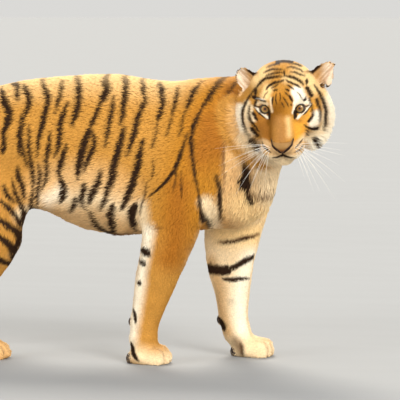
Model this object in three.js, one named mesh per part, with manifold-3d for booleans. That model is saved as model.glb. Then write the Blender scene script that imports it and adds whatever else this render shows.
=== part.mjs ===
// A standing adult Amur tiger, life size, with its head turned to its right.
// Millimetres, +Z up, +X the way the trunk faces, +Y the animal's left.
// The flesh is one smooth field of tubes and ovals, blended where they meet. Each named part
// is that field, meshed in its own box and parted from its neighbours by thin flat cuts.
import * as THREE from "three";
import { mergeVertices } from "three/addons/utils/BufferGeometryUtils.js";
import Module from "manifold-3d";

const wasm = await Module();
wasm.setup();

// ---- Driving dimensions -------------------------------------------------------------
const GAP = 0.3; // clear space at each cut
const WITHERS_HEIGHT = 948;
const LOIN_HEIGHT = 994; // the arched highest point of the back
const ELBOW_HEIGHT = 510;
const STANCE = 132; // half the distance between the left and right feet
const LIMB_BLEND = 46; // how softly limbs run into the trunk
const FAR = 260; // past the widest side of any limb

const HEAD_YAW = -81; // degrees about +Z from the trunk's heading
const HEAD_PITCH = 30; // degrees nose down
const HEAD_ROLL = 1.5; // degrees, left ear high
const EYES = { midpoint: [334, -222, 884], spacing: 117, radius: 17.5, ahead: 2 };

const EAR = { halfWidth: 47, thickness: 6, cup: 26, taper: 0.22, rootDepth: 12, gap: 1.2 };
// Each ear's root, tip and the way its hollow looks. The right ear is turned further back.
const EARS = {
  left: { root: [-106, 114, 30], tip: [-132, 172, 90], facing: [0.86, 0.3, 0.4] },
  right: { root: [-106, -112, 24], tip: [-150, -164, 64], facing: [0.78, -0.5, 0.4] },
};

const HIP = { x: -880, y: 92, z: 785 };
const THIGH_LENGTH = 384;
const SHANK_LENGTH = 282;

const FORE_PAW = { length: 158, width: 128, height: 70 };
const HIND_PAW = { length: 156, width: 112, height: 66 };
const WRIST_PAD = [17, 15, 20]; // half length, width and height

// ---- Small helpers ------------------------------------------------------------------
const radians = THREE.MathUtils.degToRad;
const mix = THREE.MathUtils.lerp;
const v3 = (x, y, z) => new THREE.Vector3(x, y, z);
const cube = (size) => [size, size, size];
const leftAndRight = (make) => [make(1), make(-1)];

function smoothUnion(a, b, softness) {
  const h = Math.max(softness - Math.abs(a - b), 0) / softness;
  return Math.min(a, b) - (h * h * softness) / 4;
}

// ---- Shapes of the field: each gives about the distance from its surface ---------------

// The distance from an oval's surface, of a point u in the oval's own axes.
function ovalDistance(u, halves) {
  const reach = Math.hypot(...u.map((v, axis) => v / halves[axis]));
  const slope = Math.hypot(...u.map((v, axis) => v / halves[axis] ** 2));
  return slope > 1e-9 ? (reach * (reach - 1)) / slope : -Math.min(...halves);
}

// An oval of the given half sizes about a centre, turned about +Z by an angle in degrees.
function oval(centre, halves, turn = 0) {
  const [c, s] = [Math.cos(radians(turn)), Math.sin(radians(turn))];
  return (p) => {
    const [x, y, z] = [p.x - centre[0], p.y - centre[1], p.z - centre[2]];
    return ovalDistance([c * x + s * y, c * y - s * x, z], halves);
  };
}

// The stations of a tube and smooth steps between them.
function smoothStations(stations) {
  const STEPS = 4;
  const heads = new THREE.CatmullRomCurve3(stations.map(([x, y, z]) => v3(x, y, z)));
  heads.curveType = "catmullrom";
  const sizes = new THREE.SplineCurve(
    stations.map(([, , , depth, width]) => new THREE.Vector2(depth, width)),
  );
  const count = STEPS * (stations.length - 1);
  return Array.from({ length: count + 1 }, (_, i) => {
    const size = sizes.getPoint(i / count);
    return { at: heads.getPoint(i / count), depth: size.x, width: size.y };
  });
}

// A tube through stations [x, y, z, depth, width]: depth is its half size in the plane that
// it bends in, and width its half size from side to side.
function tube(stations) {
  const points = smoothStations(stations);
  const segments = points.slice(1).map((end, i) => {
    const start = points[i];
    const along = end.at.clone().sub(start.at);
    const length = along.length();
    along.normalize();
    const across = v3(0, 1, 0).addScaledVector(along, -along.y).normalize();
    return { start, end, length, along, across, up: along.clone().cross(across) };
  });
  const q = v3();
  return (p) => {
    let nearest = Infinity;
    for (const { start, end, length, along, across, up } of segments) {
      q.copy(p).sub(start.at);
      const travel = q.dot(along);
      const t = THREE.MathUtils.clamp(travel / length, 0, 1);
      const depth = mix(start.depth, end.depth, t);
      const width = mix(start.width, end.width, t);
      const past = travel - t * length;
      const d = ovalDistance(
        [q.dot(up), q.dot(across), past],
        [depth, width, Math.min(depth, width)],
      );
      nearest = Math.min(nearest, d);
    }
    return nearest;
  };
}

// Joins [shape, softness] pairs in order, each blended into those before it.
function blended([[first], ...rest]) {
  return (p) => rest.reduce((d, [shape, softness]) => smoothUnion(d, shape(p), softness), first(p));
}

// ---- Trunk, neck and tail -----------------------------------------------------------

// A trunk station from the heights of the back and belly there.
function trunkStation(x, back, belly, width) {
  return [x, 0, (back + belly) / 2, (back - belly) / 2, width];
}

const trunk = tube([
  trunkStation(120, WITHERS_HEIGHT - 35, 515, 135),
  trunkStation(40, WITHERS_HEIGHT + 5, 468, 172),
  trunkStation(-60, WITHERS_HEIGHT - 2, 446, 184),
  trunkStation(-160, WITHERS_HEIGHT + 5, 438, 194),
  trunkStation(-270, LOIN_HEIGHT - 6, 430, 204),
  trunkStation(-370, LOIN_HEIGHT, 452, 202),
  trunkStation(-480, LOIN_HEIGHT - 9, 506, 188),
  trunkStation(-590, LOIN_HEIGHT - 22, 545, 174),
  trunkStation(-710, LOIN_HEIGHT - 48, 575, 172),
  trunkStation(-830, LOIN_HEIGHT - 69, 605, 166),
  trunkStation(-930, LOIN_HEIGHT - 101, 640, 148),
  trunkStation(-1000, LOIN_HEIGHT - 147, 680, 116),
]);

const breast = oval([128, 5, 630], [135, 128, 158]);

const neck = tube([
  [-70, 0, 790, 162, 130],
  [50, 8, 806, 166, 140],
  [150, 26, 826, 160, 140],
  [225, 34, 846, 150, 136],
  [272, 4, 866, 132, 128],
  [292, -60, 880, 110, 110],
]);

const tail = tube([
  [-940, 0, 850, 75, 78],
  [-1040, 0, 835, 62, 62],
  [-1120, 4, 770, 50, 50],
  [-1172, 12, 670, 45, 45],
  [-1200, 22, 560, 43, 43],
  [-1222, 30, 450, 42, 42],
  [-1258, 34, 345, 42, 42],
  [-1325, 30, 262, 41, 41],
  [-1415, 18, 222, 38, 38],
  [-1500, 4, 232, 32, 32],
  [-1560, -6, 270, 22, 22],
]);

// ---- Legs -----------------------------------------------------------------------------

// A tube on one side of the animal, with side -1 for the right and 1 for the left.
const tubeOnSide = (side, stations) =>
  tube(stations.map(([x, y, z, depth, width]) => [x, side * y, z, depth, width]));

// The right foreleg slopes back to its foot.
const rightForeleg = tubeOnSide(-1, [
  [-25, 92, 850, 92, 60],
  [-12, 128, 720, 112, 66],
  [-30, 138, 610, 114, 70],
  [-58, 140, ELBOW_HEIGHT, 104, 66],
  [-80, STANCE + 4, 430, 94, 60],
  [-101, STANCE + 3, 360, 84, 56],
  [-124, STANCE + 1, 290, 74, 52],
  [-143, STANCE, 220, 62, 48],
  [-163, STANCE - 2, 150, 53, 46],
  [-170, STANCE - 2, 85, 50, 50],
]);

// The left foreleg stands upright, further forward.
const leftForeleg = tubeOnSide(1, [
  [20, 92, 850, 92, 60],
  [76, 128, 730, 112, 66],
  [116, 138, 630, 118, 70],
  [100, 140, ELBOW_HEIGHT + 10, 112, 68],
  [84, STANCE + 4, 420, 102, 62],
  [78, STANCE + 3, 350, 91, 56],
  [80, STANCE + 1, 280, 78, 52],
  [86, STANCE, 210, 62, 48],
  [90, STANCE - 2, 140, 53, 46],
  [104, STANCE - 2, 82, 50, 50],
]);

// A hind leg's joints, from the angles of its thigh and shank off the vertical.
function hindJoints(side, thighAngle, shankAngle, footX) {
  const stifle = {
    x: HIP.x + THIGH_LENGTH * Math.sin(radians(thighAngle)),
    z: HIP.z - THIGH_LENGTH * Math.cos(radians(thighAngle)),
  };
  const hock = {
    x: stifle.x - SHANK_LENGTH * Math.sin(radians(shankAngle)),
    z: stifle.z - SHANK_LENGTH * Math.cos(radians(shankAngle)),
  };
  return { side, stifle, hock, footX };
}
const HIND = { right: hindJoints(-1, 35, 25, -724), left: hindJoints(1, 20, 48, -950) };

function hindLeg({ side, stifle, hock, footX }) {
  const between = (a, b, t) => ({ x: mix(a.x, b.x, t), z: mix(a.z, b.z, t) });
  const thigh = between(HIP, stifle, 0.45);
  const calf = between(stifle, hock, 0.38);
  const lowCalf = between(stifle, hock, 0.72);
  return tubeOnSide(side, [
    [HIP.x - 10, HIP.y - 12, HIP.z + 20, 120, 76],
    [thigh.x - 30, 112, thigh.z - 4, 138, 88],
    [stifle.x - 26, 134, stifle.z + 6, 90, 72],
    [calf.x + 2, 136, calf.z, 74, 58],
    [lowCalf.x, 134, lowCalf.z, 52, 44],
    [hock.x - 4, 131, hock.z + 2, 46, 38],
    [mix(hock.x, footX, 0.25), 130, hock.z - 70, 39, 37],
    [mix(hock.x, footX, 0.6), 130, 100, 40, 42],
    [mix(hock.x, footX, 0.8), 130, 62, 42, 48],
  ]);
}

// The heel bone stands out behind and above the hock.
function heel({ side, hock }) {
  return tubeOnSide(side, [
    [hock.x - 4, 131, hock.z - 24, 34, 32],
    [hock.x - 34, 131, hock.z + 14, 25, 24],
  ]);
}

// The loose fold of skin between the belly and a thigh.
const flankFold = (side) =>
  tubeOnSide(side, [
    [-500, 100, 585, 60, 50],
    [-585, 118, 580, 60, 46],
  ]);

const PAWS = {
  foreRight: { x: -150, y: 2 - STANCE, ...FORE_PAW },
  foreLeft: { x: 160, y: STANCE - 2, ...FORE_PAW },
  hindRight: { x: HIND.right.footX, y: 2 - STANCE, ...HIND_PAW },
  hindLeft: { x: HIND.left.footX, y: STANCE - 2, ...HIND_PAW },
};

// A paw: a low oval for the sole and, fanned out in front of it, four toes.
function paw({ x, y, length, width, height }) {
  const sole = oval(
    [x - 0.02 * length, y, 0.36 * height],
    [0.42 * length, 0.5 * width, 0.66 * height],
  );
  const toes = [-1.5, -0.5, 0.5, 1.5].map((place) => {
    const ahead = Math.abs(place) > 1 ? 0.2 : 0.29;
    return oval(
      [x + ahead * length, y + place * 0.235 * width, 0.3 * height],
      [0.22 * length, 0.145 * width, 0.62 * height],
      place * 4,
    );
  });
  return [[sole, 20], ...toes.map((toe) => [toe, 9])];
}

// ---- Head -----------------------------------------------------------------------------

// The head's own frame has x forward, y left and z up, with its origin between the eyes.
const headTurn = new THREE.Quaternion().setFromEuler(
  new THREE.Euler(radians(HEAD_ROLL), radians(HEAD_PITCH), radians(HEAD_YAW), "ZYX"),
);
const headPlace = new THREE.Matrix4().compose(v3(...EYES.midpoint), headTurn, v3(1, 1, 1));
const headPlaceBack = headPlace.clone().invert();
const inHead = (place) => v3(...place).applyMatrix4(headPlace);

const headShape = blended([
  [oval([-100, 0, 6], [112, 116, 102])], // cranium
  ...leftAndRight((side) => [oval([-50, side * 74, -50], [74, 60, 64]), 34]), // cheeks
  ...leftAndRight((side) => [oval([-96, side * 100, -84], [60, 72, 98]), 30]), // ruff
  ...leftAndRight((side) => [oval([-56, side * 78, -136], [52, 56, 52]), 36]), // jowls
  ...leftAndRight((side) => [oval([-20, side * 42, 36], [42, 34, 24]), 22]), // brows
  ...leftAndRight((side) => [oval([26, side * 38, -66], [58, 38, 44]), 30]), // upper jaw
  [
    tube([
      [-30, 0, 14, 54, 46],
      [30, 0, -4, 44, 40],
      [85, 0, -40, 38, 37],
      [122, 0, -64, 27, 33],
    ]),
    30,
  ], // bridge of the nose
  ...leftAndRight((side) => [oval([80, side * 35, -98], [46, 38, 34]), 20]), // whisker pads
  [
    tube([
      [-70, 0, -118, 52, 78],
      [0, 0, -134, 42, 62],
      [60, 0, -144, 30, 46],
      [90, 0, -144, 22, 34],
    ]),
    24,
  ], // lower jaw
  [
    tube([
      [-60, 0, -100, 70, 84],
      [-150, 0, -90, 90, 100],
    ]),
    40,
  ], // throat
  [oval([126, 0, -74], [18, 33, 19]), 12], // tip of the nose
]);
const headPoint = v3();
const head = (p) => headShape(headPoint.copy(p).applyMatrix4(headPlaceBack));

const flesh = blended([
  [trunk],
  [breast, 60],
  [neck, 70],
  [rightForeleg, LIMB_BLEND],
  [leftForeleg, LIMB_BLEND],
  ...Object.values(HIND).map((leg) => [hindLeg(leg), LIMB_BLEND]),
  ...Object.values(HIND).map((leg) => [heel(leg), 14]),
  ...leftAndRight((side) => [flankFold(side), 50]),
  [tail, 36],
  ...Object.values(PAWS).flatMap(paw),
  [head, 46],
]);

// ---- Meshing the field ------------------------------------------------------------------

// A cell's corners, its edges as pairs of corners, and its faces as sets of both.
const CORNERS = [0, 1, 2, 3, 4, 5, 6, 7].map((c) => [c & 1, (c >> 1) & 1, c >> 2]);
const EDGES = CORNERS.flatMap((_, c) =>
  [1, 2, 4].filter((bit) => !(c & bit)).map((bit) => [c, c | bit]),
);
const FACES = [0, 1, 2].flatMap((axis) =>
  [0, 1].map((end) => {
    const corners = [...CORNERS.keys()].filter((c) => CORNERS[c][axis] === end);
    const edges = [...EDGES.keys()].filter((e) => EDGES[e].every((c) => corners.includes(c)));
    return { corners, edges };
  }),
);

// Names, for each edge of a cell, the sheet of surface that crosses it, or -1. The corners'
// signs say which are inside.
function sheetsOf(inside) {
  const crossed = EDGES.map(([a, b]) => inside[a] !== inside[b]);
  const sheet = [...EDGES.keys()];
  const root = (e) => (sheet[e] === e ? e : root(sheet[e]));
  const join = (a, b) => {
    sheet[root(a)] = root(b);
  };
  for (const { corners, edges } of FACES) {
    const cut = edges.filter((e) => crossed[e]);
    if (cut.length === 2) join(...cut);
    if (cut.length === 4)
      for (const c of corners.filter((corner) => inside[corner]))
        join(...cut.filter((e) => EDGES[e].includes(c)));
  }
  return EDGES.map((_, e) => (crossed[e] ? root(e) : -1));
}

// The field's values at the corners of a box of cells, whose outermost corners are outside.
function sampleField(field, low, high, cell) {
  const counts = low.map((v, axis) => Math.ceil((high[axis] - v) / cell[axis]) + 3);
  const origin = low.map(
    (v, axis) => (v + high[axis] - (counts[axis] - 1) * cell[axis]) / 2,
  );
  const strides = [1, counts[0], counts[0] * counts[1]];
  const values = new Float64Array(strides[2] * counts[2]);
  const spot = v3();
  const steps = [];
  for (let k = 0; k < counts[2]; k++)
    for (let j = 0; j < counts[1]; j++)
      for (let i = 0; i < counts[0]; i++) {
        const step = [i, j, k];
        const onRim = step.some((n, axis) => n === 0 || n === counts[axis] - 1);
        spot.set(...step.map((n, axis) => origin[axis] + n * cell[axis]));
        values[steps.length] = onRim ? 1 : field(spot);
        steps.push(step);
      }
  return { counts, origin, strides, values, steps };
}

// Moves a vertex along the field's slope until it lies on the zero level.
function settle(vertex, field, cell) {
  const ROUNDS = 3;
  const PROBE = 0.5;
  const spot = v3();
  for (let round = 0; round < ROUNDS; round++) {
    const d = field(spot.set(...vertex));
    const slope = vertex.map((v, axis) => {
      spot.set(...vertex).setComponent(axis, v + PROBE);
      return (field(spot) - d) / PROBE;
    });
    const steepness = Math.max(slope.reduce((sum, s) => sum + s * s, 0), 0.1);
    vertex.forEach((v, axis) => {
      const most = 0.45 * cell[axis];
      vertex[axis] = v - THREE.MathUtils.clamp((d * slope[axis]) / steepness, -most, most);
    });
  }
  return vertex;
}

// The field's zero level in a box, as a solid made of cells of the given [x, y, z] size: one
// vertex for each sheet of surface in a cell, and one square for each edge that crosses it.
function meshField(field, low, high, cell) {
  const { counts, origin, strides, values, steps } = sampleField(field, low, high, cell);
  const vertices = [];
  const vertexOf = new Map();
  steps.forEach((step, here) => {
    if (step.some((n, axis) => n === counts[axis] - 1)) return;
    const near = CORNERS.map((c) => values[here + c.reduce((s, n, axis) => s + n * strides[axis], 0)]);
    const inside = near.map((v) => v < 0);
    if (inside.every((v) => v === inside[0])) return;
    const sheets = sheetsOf(inside);
    for (const name of new Set(sheets.filter((sheet) => sheet >= 0))) {
      const edges = [...EDGES.keys()].filter((e) => sheets[e] === name);
      const middle = step.map((n, axis) => {
        const along = edges.map((e) => {
          const [a, b] = EDGES[e];
          return mix(CORNERS[a][axis], CORNERS[b][axis], near[a] / (near[a] - near[b]));
        });
        const mean = along.reduce((sum, v) => sum + v, 0) / along.length;
        return origin[axis] + (n + mean) * cell[axis];
      });
      for (const e of edges) vertexOf.set(here * EDGES.length + e, vertices.length);
      vertices.push(settle(middle, field, cell));
    }
  });
  const triangles = [];
  steps.forEach((_, here) => {
    for (let axis = 0; axis < 3; axis++) {
      const leaves = values[here] < 0;
      if (leaves === values[here + strides[axis]] < 0) continue;
      const [u, v] = [(axis + 1) % 3, (axis + 2) % 3];
      const square = [[1, 1], [0, 1], [0, 0], [1, 0]].map(([back, down]) => {
        const from = back * (1 << u) + down * (1 << v);
        const e = EDGES.findIndex(([a, b]) => a === from && b === (from | (1 << axis)));
        const cellHere = here - back * strides[u] - down * strides[v];
        return vertexOf.get(cellHere * EDGES.length + e);
      });
      if (!leaves) square.reverse();
      const [a, b, c, d] = square;
      triangles.push(a, b, c, a, c, d);
    }
  });
  return solidFrom(vertices.flat(), triangles);
}

// ---- Solids and cuts ----------------------------------------------------------------------

function solidFrom(positions, indices) {
  return new wasm.Manifold(
    new wasm.Mesh({
      numProp: 3,
      vertProperties: new Float32Array(positions),
      triVerts: new Uint32Array(indices),
    }),
  );
}

// A three.js geometry as a solid.
function solidOf(geometry) {
  geometry.deleteAttribute("normal");
  geometry.deleteAttribute("uv");
  const merged = mergeVertices(geometry, 1e-4);
  return solidFrom(merged.attributes.position.array, merged.index.array);
}

// A solid as a three.js geometry.
function geometryOf(solid) {
  const { vertProperties, triVerts } = solid.getMesh();
  const geometry = new THREE.BufferGeometry();
  geometry.setAttribute("position", new THREE.BufferAttribute(vertProperties, 3));
  geometry.setIndex(new THREE.BufferAttribute(triVerts, 1));
  geometry.computeVertexNormals();
  return geometry;
}

// The block of space between two corners, grown by a margin.
function block(low, high, margin = 0) {
  const size = low.map((v, axis) => high[axis] - v + 2 * margin);
  const middle = low.map((v, axis) => (v + high[axis]) / 2);
  return solidOf(new THREE.BoxGeometry(...size).translate(...middle));
}

// All the space that a plane's normal points to, and a margin behind the plane.
function halfSpace({ point, normal }, margin) {
  const VAST = 6000;
  const space = new THREE.BoxGeometry(VAST, VAST, VAST).translate(0, 0, VAST / 2 - margin);
  const turn = new THREE.Quaternion().setFromUnitVectors(v3(0, 0, 1), normal);
  return solidOf(space.applyQuaternion(turn).translate(...point));
}

// A part's share of space, grown by a margin: its box, as far as its slanted planes.
function regionSolid({ low, high, planes = [] }, margin = 0) {
  return planes.reduce(
    (space, plane) => space.intersect(halfSpace(plane, margin)),
    block(low, high, margin),
  );
}

const plane = (point, normal) => ({ point: v3(...point), normal: v3(...normal).normalize() });

// A plane stated in the head's own frame.
const headPlane = (point, normal) => ({
  point: inHead(point),
  normal: v3(...normal).normalize().applyQuaternion(headTurn),
});

// ---- Regions: a part's box from low to high, its planes, and the cells it is meshed in -----

const HEAD_BOX = { low: [60, -420, 600], high: [540, 120, 1090] };
// The head ends behind its ruff, under its jowls and at its right cheek.
const HEAD_BOUNDS = [
  headPlane([-160, 0, 0], [1, 0, 0.1]),
  headPlane([-100, 0, -182], [0.35, 0, 1]),
  headPlane([-100, -172, -60], [0.25, 1, 0.45]),
];

const headRegions = [
  {
    name: "nose_leather",
    material: "nose",
    cell: cube(12),
    ...HEAD_BOX,
    planes: [
      headPlane([124, 0, -66], [1, 0, 0.15]),
      headPlane([124, 0, -99], [0.2, 0, 1]),
      headPlane([124, 0, -50], [0.3, 0, -1]),
      ...leftAndRight((side) => headPlane([124, side * 37, -60], [0, -0.85 * side, 0.52])),
    ],
  },
  {
    name: "lower_jaw",
    material: "paleCoat",
    cell: cube(29),
    ...HEAD_BOX,
    planes: [
      ...HEAD_BOUNDS,
      headPlane([60, 0, -117], [0.05, 0, -1]),
      headPlane([-28, 0, -120], [1, 0, -0.4]),
    ],
  },
  {
    name: "muzzle",
    material: "coat",
    cell: cube(21),
    ...HEAD_BOX,
    planes: [...HEAD_BOUNDS, headPlane([34, 0, -40], [1, 0, -0.35])],
  },
  { name: "head", material: "coat", cell: cube(28), ...HEAD_BOX, planes: HEAD_BOUNDS },
  {
    name: "neck",
    material: "coat",
    cell: [56, 52, 54],
    low: [-10, -320, 560],
    high: [540, 320, 1060],
    planes: [plane([40, 0, 960], [0.83, 0, 0.56])],
  },
];

// The legs of one side, from the inner edge of each part outwards, cut level.
function legRegions(name) {
  const { side, hock, stifle } = HIND[name];
  const span = ([back, front], inner, bottom, top) => ({
    low: [back, side > 0 ? inner : -FAR, bottom],
    high: [front, side > 0 ? FAR : -inner, top],
  });
  const fore = side > 0 ? [-70, 290] : [-240, 130];
  const hind = [-1060, -500];
  const WRIST = 100;
  const ANKLE = 84;
  const elbow = ELBOW_HEIGHT - 62;
  const hockTop = hock.z + 42;
  const stifleBottom = stifle.z - 46;
  const coat = (part, cell, box) => ({ name: `${part}_${name}`, material: "coat", cell, ...box });
  return [
    { ...coat("forepaw", cube(20), span(fore, 40, 0, WRIST)), material: "paleCoat" },
    coat("forearm", [38, 35, 66], span(fore, 40, WRIST, elbow)),
    coat("upper_foreleg", [46, 40, 52], span(fore, 72, elbow, 650)),
    { ...coat("hindpaw", cube(20), span(hind, 40, 0, ANKLE)), material: "paleCoat" },
    coat("metatarsus", [27, 26, 40], span(hind, 40, ANKLE, hockTop)),
    coat("shank", [36, 34, 44], span(hind, 40, hockTop, stifleBottom)),
    {
      ...coat("thigh", [64, 50, 62], span([-1100, -460], 48, stifleBottom, 760)),
      planes: [plane([-520, 0, 560], [-0.75, 0, -0.66])],
    },
  ];
}

function tailRegion(name, cell, [back, front], [bottom, top], planes) {
  const low = [back, -120, bottom];
  const high = [front, 120, top];
  return { name, material: "coat", cell, low, high, planes };
}
const tailRegions = [
  tailRegion("tail_tip", [42, 29, 29], [-1600, -1395], [150, 400]),
  tailRegion("tail_lower", [38, 29, 38], [-1400, -1150], [150, 400]),
  tailRegion("tail_middle", [29, 29, 58], [-1400, -1110], [400, 630]),
  tailRegion("tail_base", [36, 32, 46], [-1400, -1040], [630, 900], [
    plane([-1062, 0, 830], [-0.9, 0, 0.3]),
  ]),
];

const trunkRegion = (name, cell, back, front) => ({
  name,
  material: "coat",
  cell,
  low: [back, -320, 400],
  high: [front, 320, 1100],
});
const trunkRegions = [
  trunkRegion("chest", [88, 64, 68], -230, 400),
  trunkRegion("belly", [108, 64, 68], -560, -230),
  trunkRegion("rump", [88, 64, 68], -1200, -560),
];

// In the order in which they claim space.
const REGIONS = [
  ...headRegions,
  ...Object.keys(HIND).flatMap(legRegions),
  ...tailRegions,
  ...trunkRegions,
];

// ---- Eyes, ears and pads: each a function of how much larger than life to make it ---------

const ball = (wide, high) => new THREE.SphereGeometry(1, wide, high);

const eye = (side) => (grow) => {
  const radius = EYES.radius + grow;
  const centre = inHead([EYES.ahead, (side * EYES.spacing) / 2, 0]);
  return solidOf(ball(10, 7).scale(radius, radius, radius).translate(...centre));
};

// An ear is a thin oval, narrowed towards its tip and pushed back in the middle as a cup.
const ear = ({ root, tip, facing }) => (grow) => {
  const end = inHead(tip);
  const along = end.clone().sub(inHead(root));
  const halfLength = along.length() / 2 + EAR.rootDepth;
  along.normalize();
  const front = v3(...facing).applyQuaternion(headTurn);
  front.addScaledVector(along, -front.dot(along)).normalize();
  const across = along.clone().cross(front);
  const centre = end.clone().addScaledVector(along, -halfLength);
  const shell = ball(12, 7).rotateX(Math.PI / 2);
  const at = shell.attributes.position;
  for (let i = 0; i < at.count; i++) {
    const long = at.getZ(i) * (1 + grow / halfLength);
    const halfWidth = EAR.halfWidth * (1 - EAR.taper * long - 0.1 * long * long);
    const wide = at.getY(i) * (1 + grow / halfWidth);
    const pushed = EAR.cup * (1 - wide * wide) * (1 - 0.35 * long);
    const p = centre
      .clone()
      .addScaledVector(front, (EAR.thickness + grow) * at.getX(i) - pushed)
      .addScaledVector(across, halfWidth * wide)
      .addScaledVector(along, halfLength * long);
    at.setXYZ(i, ...p);
  }
  return solidOf(shell);
};

// A bare pad of leathery skin, cut flat where it rests on the floor.
const pad = ([x, y, z], halves) => (grow) => {
  const shape = ball(10, 6).scale(...halves.map((half) => half + grow)).translate(x, y, z);
  return solidOf(shape).intersect(block([x - FAR, y - FAR, 0], [x + FAR, y + FAR, FAR]));
};

const heelPad = ({ x, y, length, width }) =>
  pad([x - 0.36 * length, y, 16], [24, 0.3 * width, 26]);

const looseParts = [
  { name: "eye_left", material: "eye", shape: eye(1) },
  { name: "eye_right", material: "eye", shape: eye(-1) },
  { name: "ear_left", material: "coat", shape: ear(EARS.left), gap: EAR.gap },
  { name: "ear_right", material: "coat", shape: ear(EARS.right), gap: EAR.gap },
  { name: "wrist_pad_right", material: "pad", shape: pad([-206, -STANCE, 142], WRIST_PAD) },
  { name: "wrist_pad_left", material: "pad", shape: pad([46, STANCE, 125], WRIST_PAD) },
  { name: "heel_pad_fore_right", material: "pad", shape: heelPad(PAWS.foreRight) },
  { name: "heel_pad_fore_left", material: "pad", shape: heelPad(PAWS.foreLeft) },
  { name: "heel_pad_hind_right", material: "pad", shape: heelPad(PAWS.hindRight) },
  { name: "heel_pad_hind_left", material: "pad", shape: heelPad(PAWS.hindLeft) },
];

// ---- Materials ----------------------------------------------------------------------------

const MATERIALS = {
  coat: { color: 0xd08a3c, roughness: 0.85 },
  paleCoat: { color: 0xe8dcc4, roughness: 0.88 },
  nose: { color: 0xb5725c, roughness: 0.5 },
  eye: { color: 0x9a8f4c, roughness: 0.1 },
  pad: { color: 0x1d1816, roughness: 0.7 },
};

// ---- Putting the parts together -------------------------------------------------------------

const largestPiece = (solid) =>
  solid.decompose().reduce((a, b) => (b.volume() > a.volume() ? b : a));

// A part's share of the flesh, clear of the parts before it and of what is set into it.
function fleshPart(region, earlierRegions, sockets) {
  const { low, high, cell } = region;
  const beyond = (corner, cells) => corner.map((v, axis) => v + cells * cell[axis]);
  const around = meshField(flesh, beyond(low, -1.5), beyond(high, 1.5), cell);
  const taken = [...earlierRegions.map((earlier) => regionSolid(earlier, GAP)), ...sockets];
  const own = around.intersect(regionSolid(region));
  return largestPiece(taken.reduce((solid, tool) => solid.subtract(tool), own));
}

function addPart(group, name, solid, material) {
  const mesh = new THREE.Mesh(
    geometryOf(solid),
    new THREE.MeshStandardMaterial({ ...MATERIALS[material], metalness: 0 }),
  );
  mesh.name = name;
  group.add(mesh);
}

const tiger = new THREE.Group();
const sockets = looseParts.map(({ shape, gap = GAP }) => shape(gap));
REGIONS.forEach((region, index) => {
  const solid = fleshPart(region, REGIONS.slice(0, index), sockets);
  addPart(tiger, region.name, solid, region.material);
});
for (const { name, material, shape } of looseParts) addPart(tiger, name, shape(0), material);

// The origin is on the floor under the middle of the whole animal.
const middle = new THREE.Box3().setFromObject(tiger).getCenter(v3());
tiger.position.set(-middle.x, -middle.y, 0);

export default tiger;
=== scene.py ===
"""Dresses a life-size standing tiger: one skin, a coat of tufts, eyes, nose, pads and whiskers."""

import logging
import math
from dataclasses import dataclass
from enum import Enum
from typing import Iterable, Sequence

import bmesh
import bpy
import numpy as np
from mathutils import Euler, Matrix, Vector


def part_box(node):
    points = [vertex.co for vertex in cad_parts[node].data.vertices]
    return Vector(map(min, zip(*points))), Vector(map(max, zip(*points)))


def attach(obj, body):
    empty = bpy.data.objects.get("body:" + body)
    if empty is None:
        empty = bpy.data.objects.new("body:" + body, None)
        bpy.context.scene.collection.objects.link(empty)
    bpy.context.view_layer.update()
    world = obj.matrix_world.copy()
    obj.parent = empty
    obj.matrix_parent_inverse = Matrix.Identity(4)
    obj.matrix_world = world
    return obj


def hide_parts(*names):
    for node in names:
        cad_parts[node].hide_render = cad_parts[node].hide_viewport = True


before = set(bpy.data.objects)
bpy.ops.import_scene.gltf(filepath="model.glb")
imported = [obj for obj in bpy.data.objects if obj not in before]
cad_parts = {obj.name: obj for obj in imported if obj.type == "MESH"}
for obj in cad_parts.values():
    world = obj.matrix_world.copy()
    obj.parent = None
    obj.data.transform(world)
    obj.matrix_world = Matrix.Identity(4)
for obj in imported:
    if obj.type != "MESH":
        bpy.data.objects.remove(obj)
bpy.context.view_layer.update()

Array = np.ndarray
Pair = tuple[float, float]
Triple = tuple[float, float, float]
LOG = logging.getLogger("tiger")

# The anatomy below is in millimetres, in one of two frames. The trunk's has its origin on the
# floor under the withers, x forward, y left and z up. The head's has its origin between the
# eyes, x out of the face, y to the animal's left and z up through the crown.
MM = 0.001
SEED = 20


class Side(Enum):
    """The two sides of the animal, valued by the sign of y."""

    RIGHT = -1
    LEFT = 1


class Face(Enum):
    """The drawing boards that markings are drawn on."""

    RIGHT = "outer right side"
    LEFT = "outer left side"
    INNER_RIGHT = "inner side of the right legs"
    INNER_LEFT = "inner side of the left legs"
    MASK = "the face, seen from in front and a little above"
    PROFILE = "both sides of the head"


# ---- Small helpers ----


def unit(vectors: Array) -> Array:
    """Returns vectors scaled to length one."""
    return vectors / np.maximum(np.linalg.norm(vectors, axis=-1, keepdims=True), 1e-12)


def smoothstep(low: float, high: float, values: Array) -> Array:
    """Returns 0 below low, 1 above high and a smooth step between."""
    t = np.clip((values - low) / (high - low), 0.0, 1.0)
    return t * t * (3.0 - 2.0 * t)


def blend(low: Array | float, high: Array | float, share: Array) -> Array:
    """Returns low where the share is 0, high where it is 1, and a mixture between."""
    return low * (1 - share) + high * share


def mirrored(items: Iterable) -> list:
    """Adds the mirror images of paired items.

    Args:
        items: Lumps, tubes or zones.

    Returns:
        Each item, and after it its mirror image where it is paired.
    """
    found = []
    for item in items:
        found.append(item)
        if item.paired:
            found.append(item.mirror())
    return found


def flip(place: Sequence[float]) -> Triple:
    """Returns a place or direction with its y reversed."""
    return (place[0], -place[1], place[2])


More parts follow.
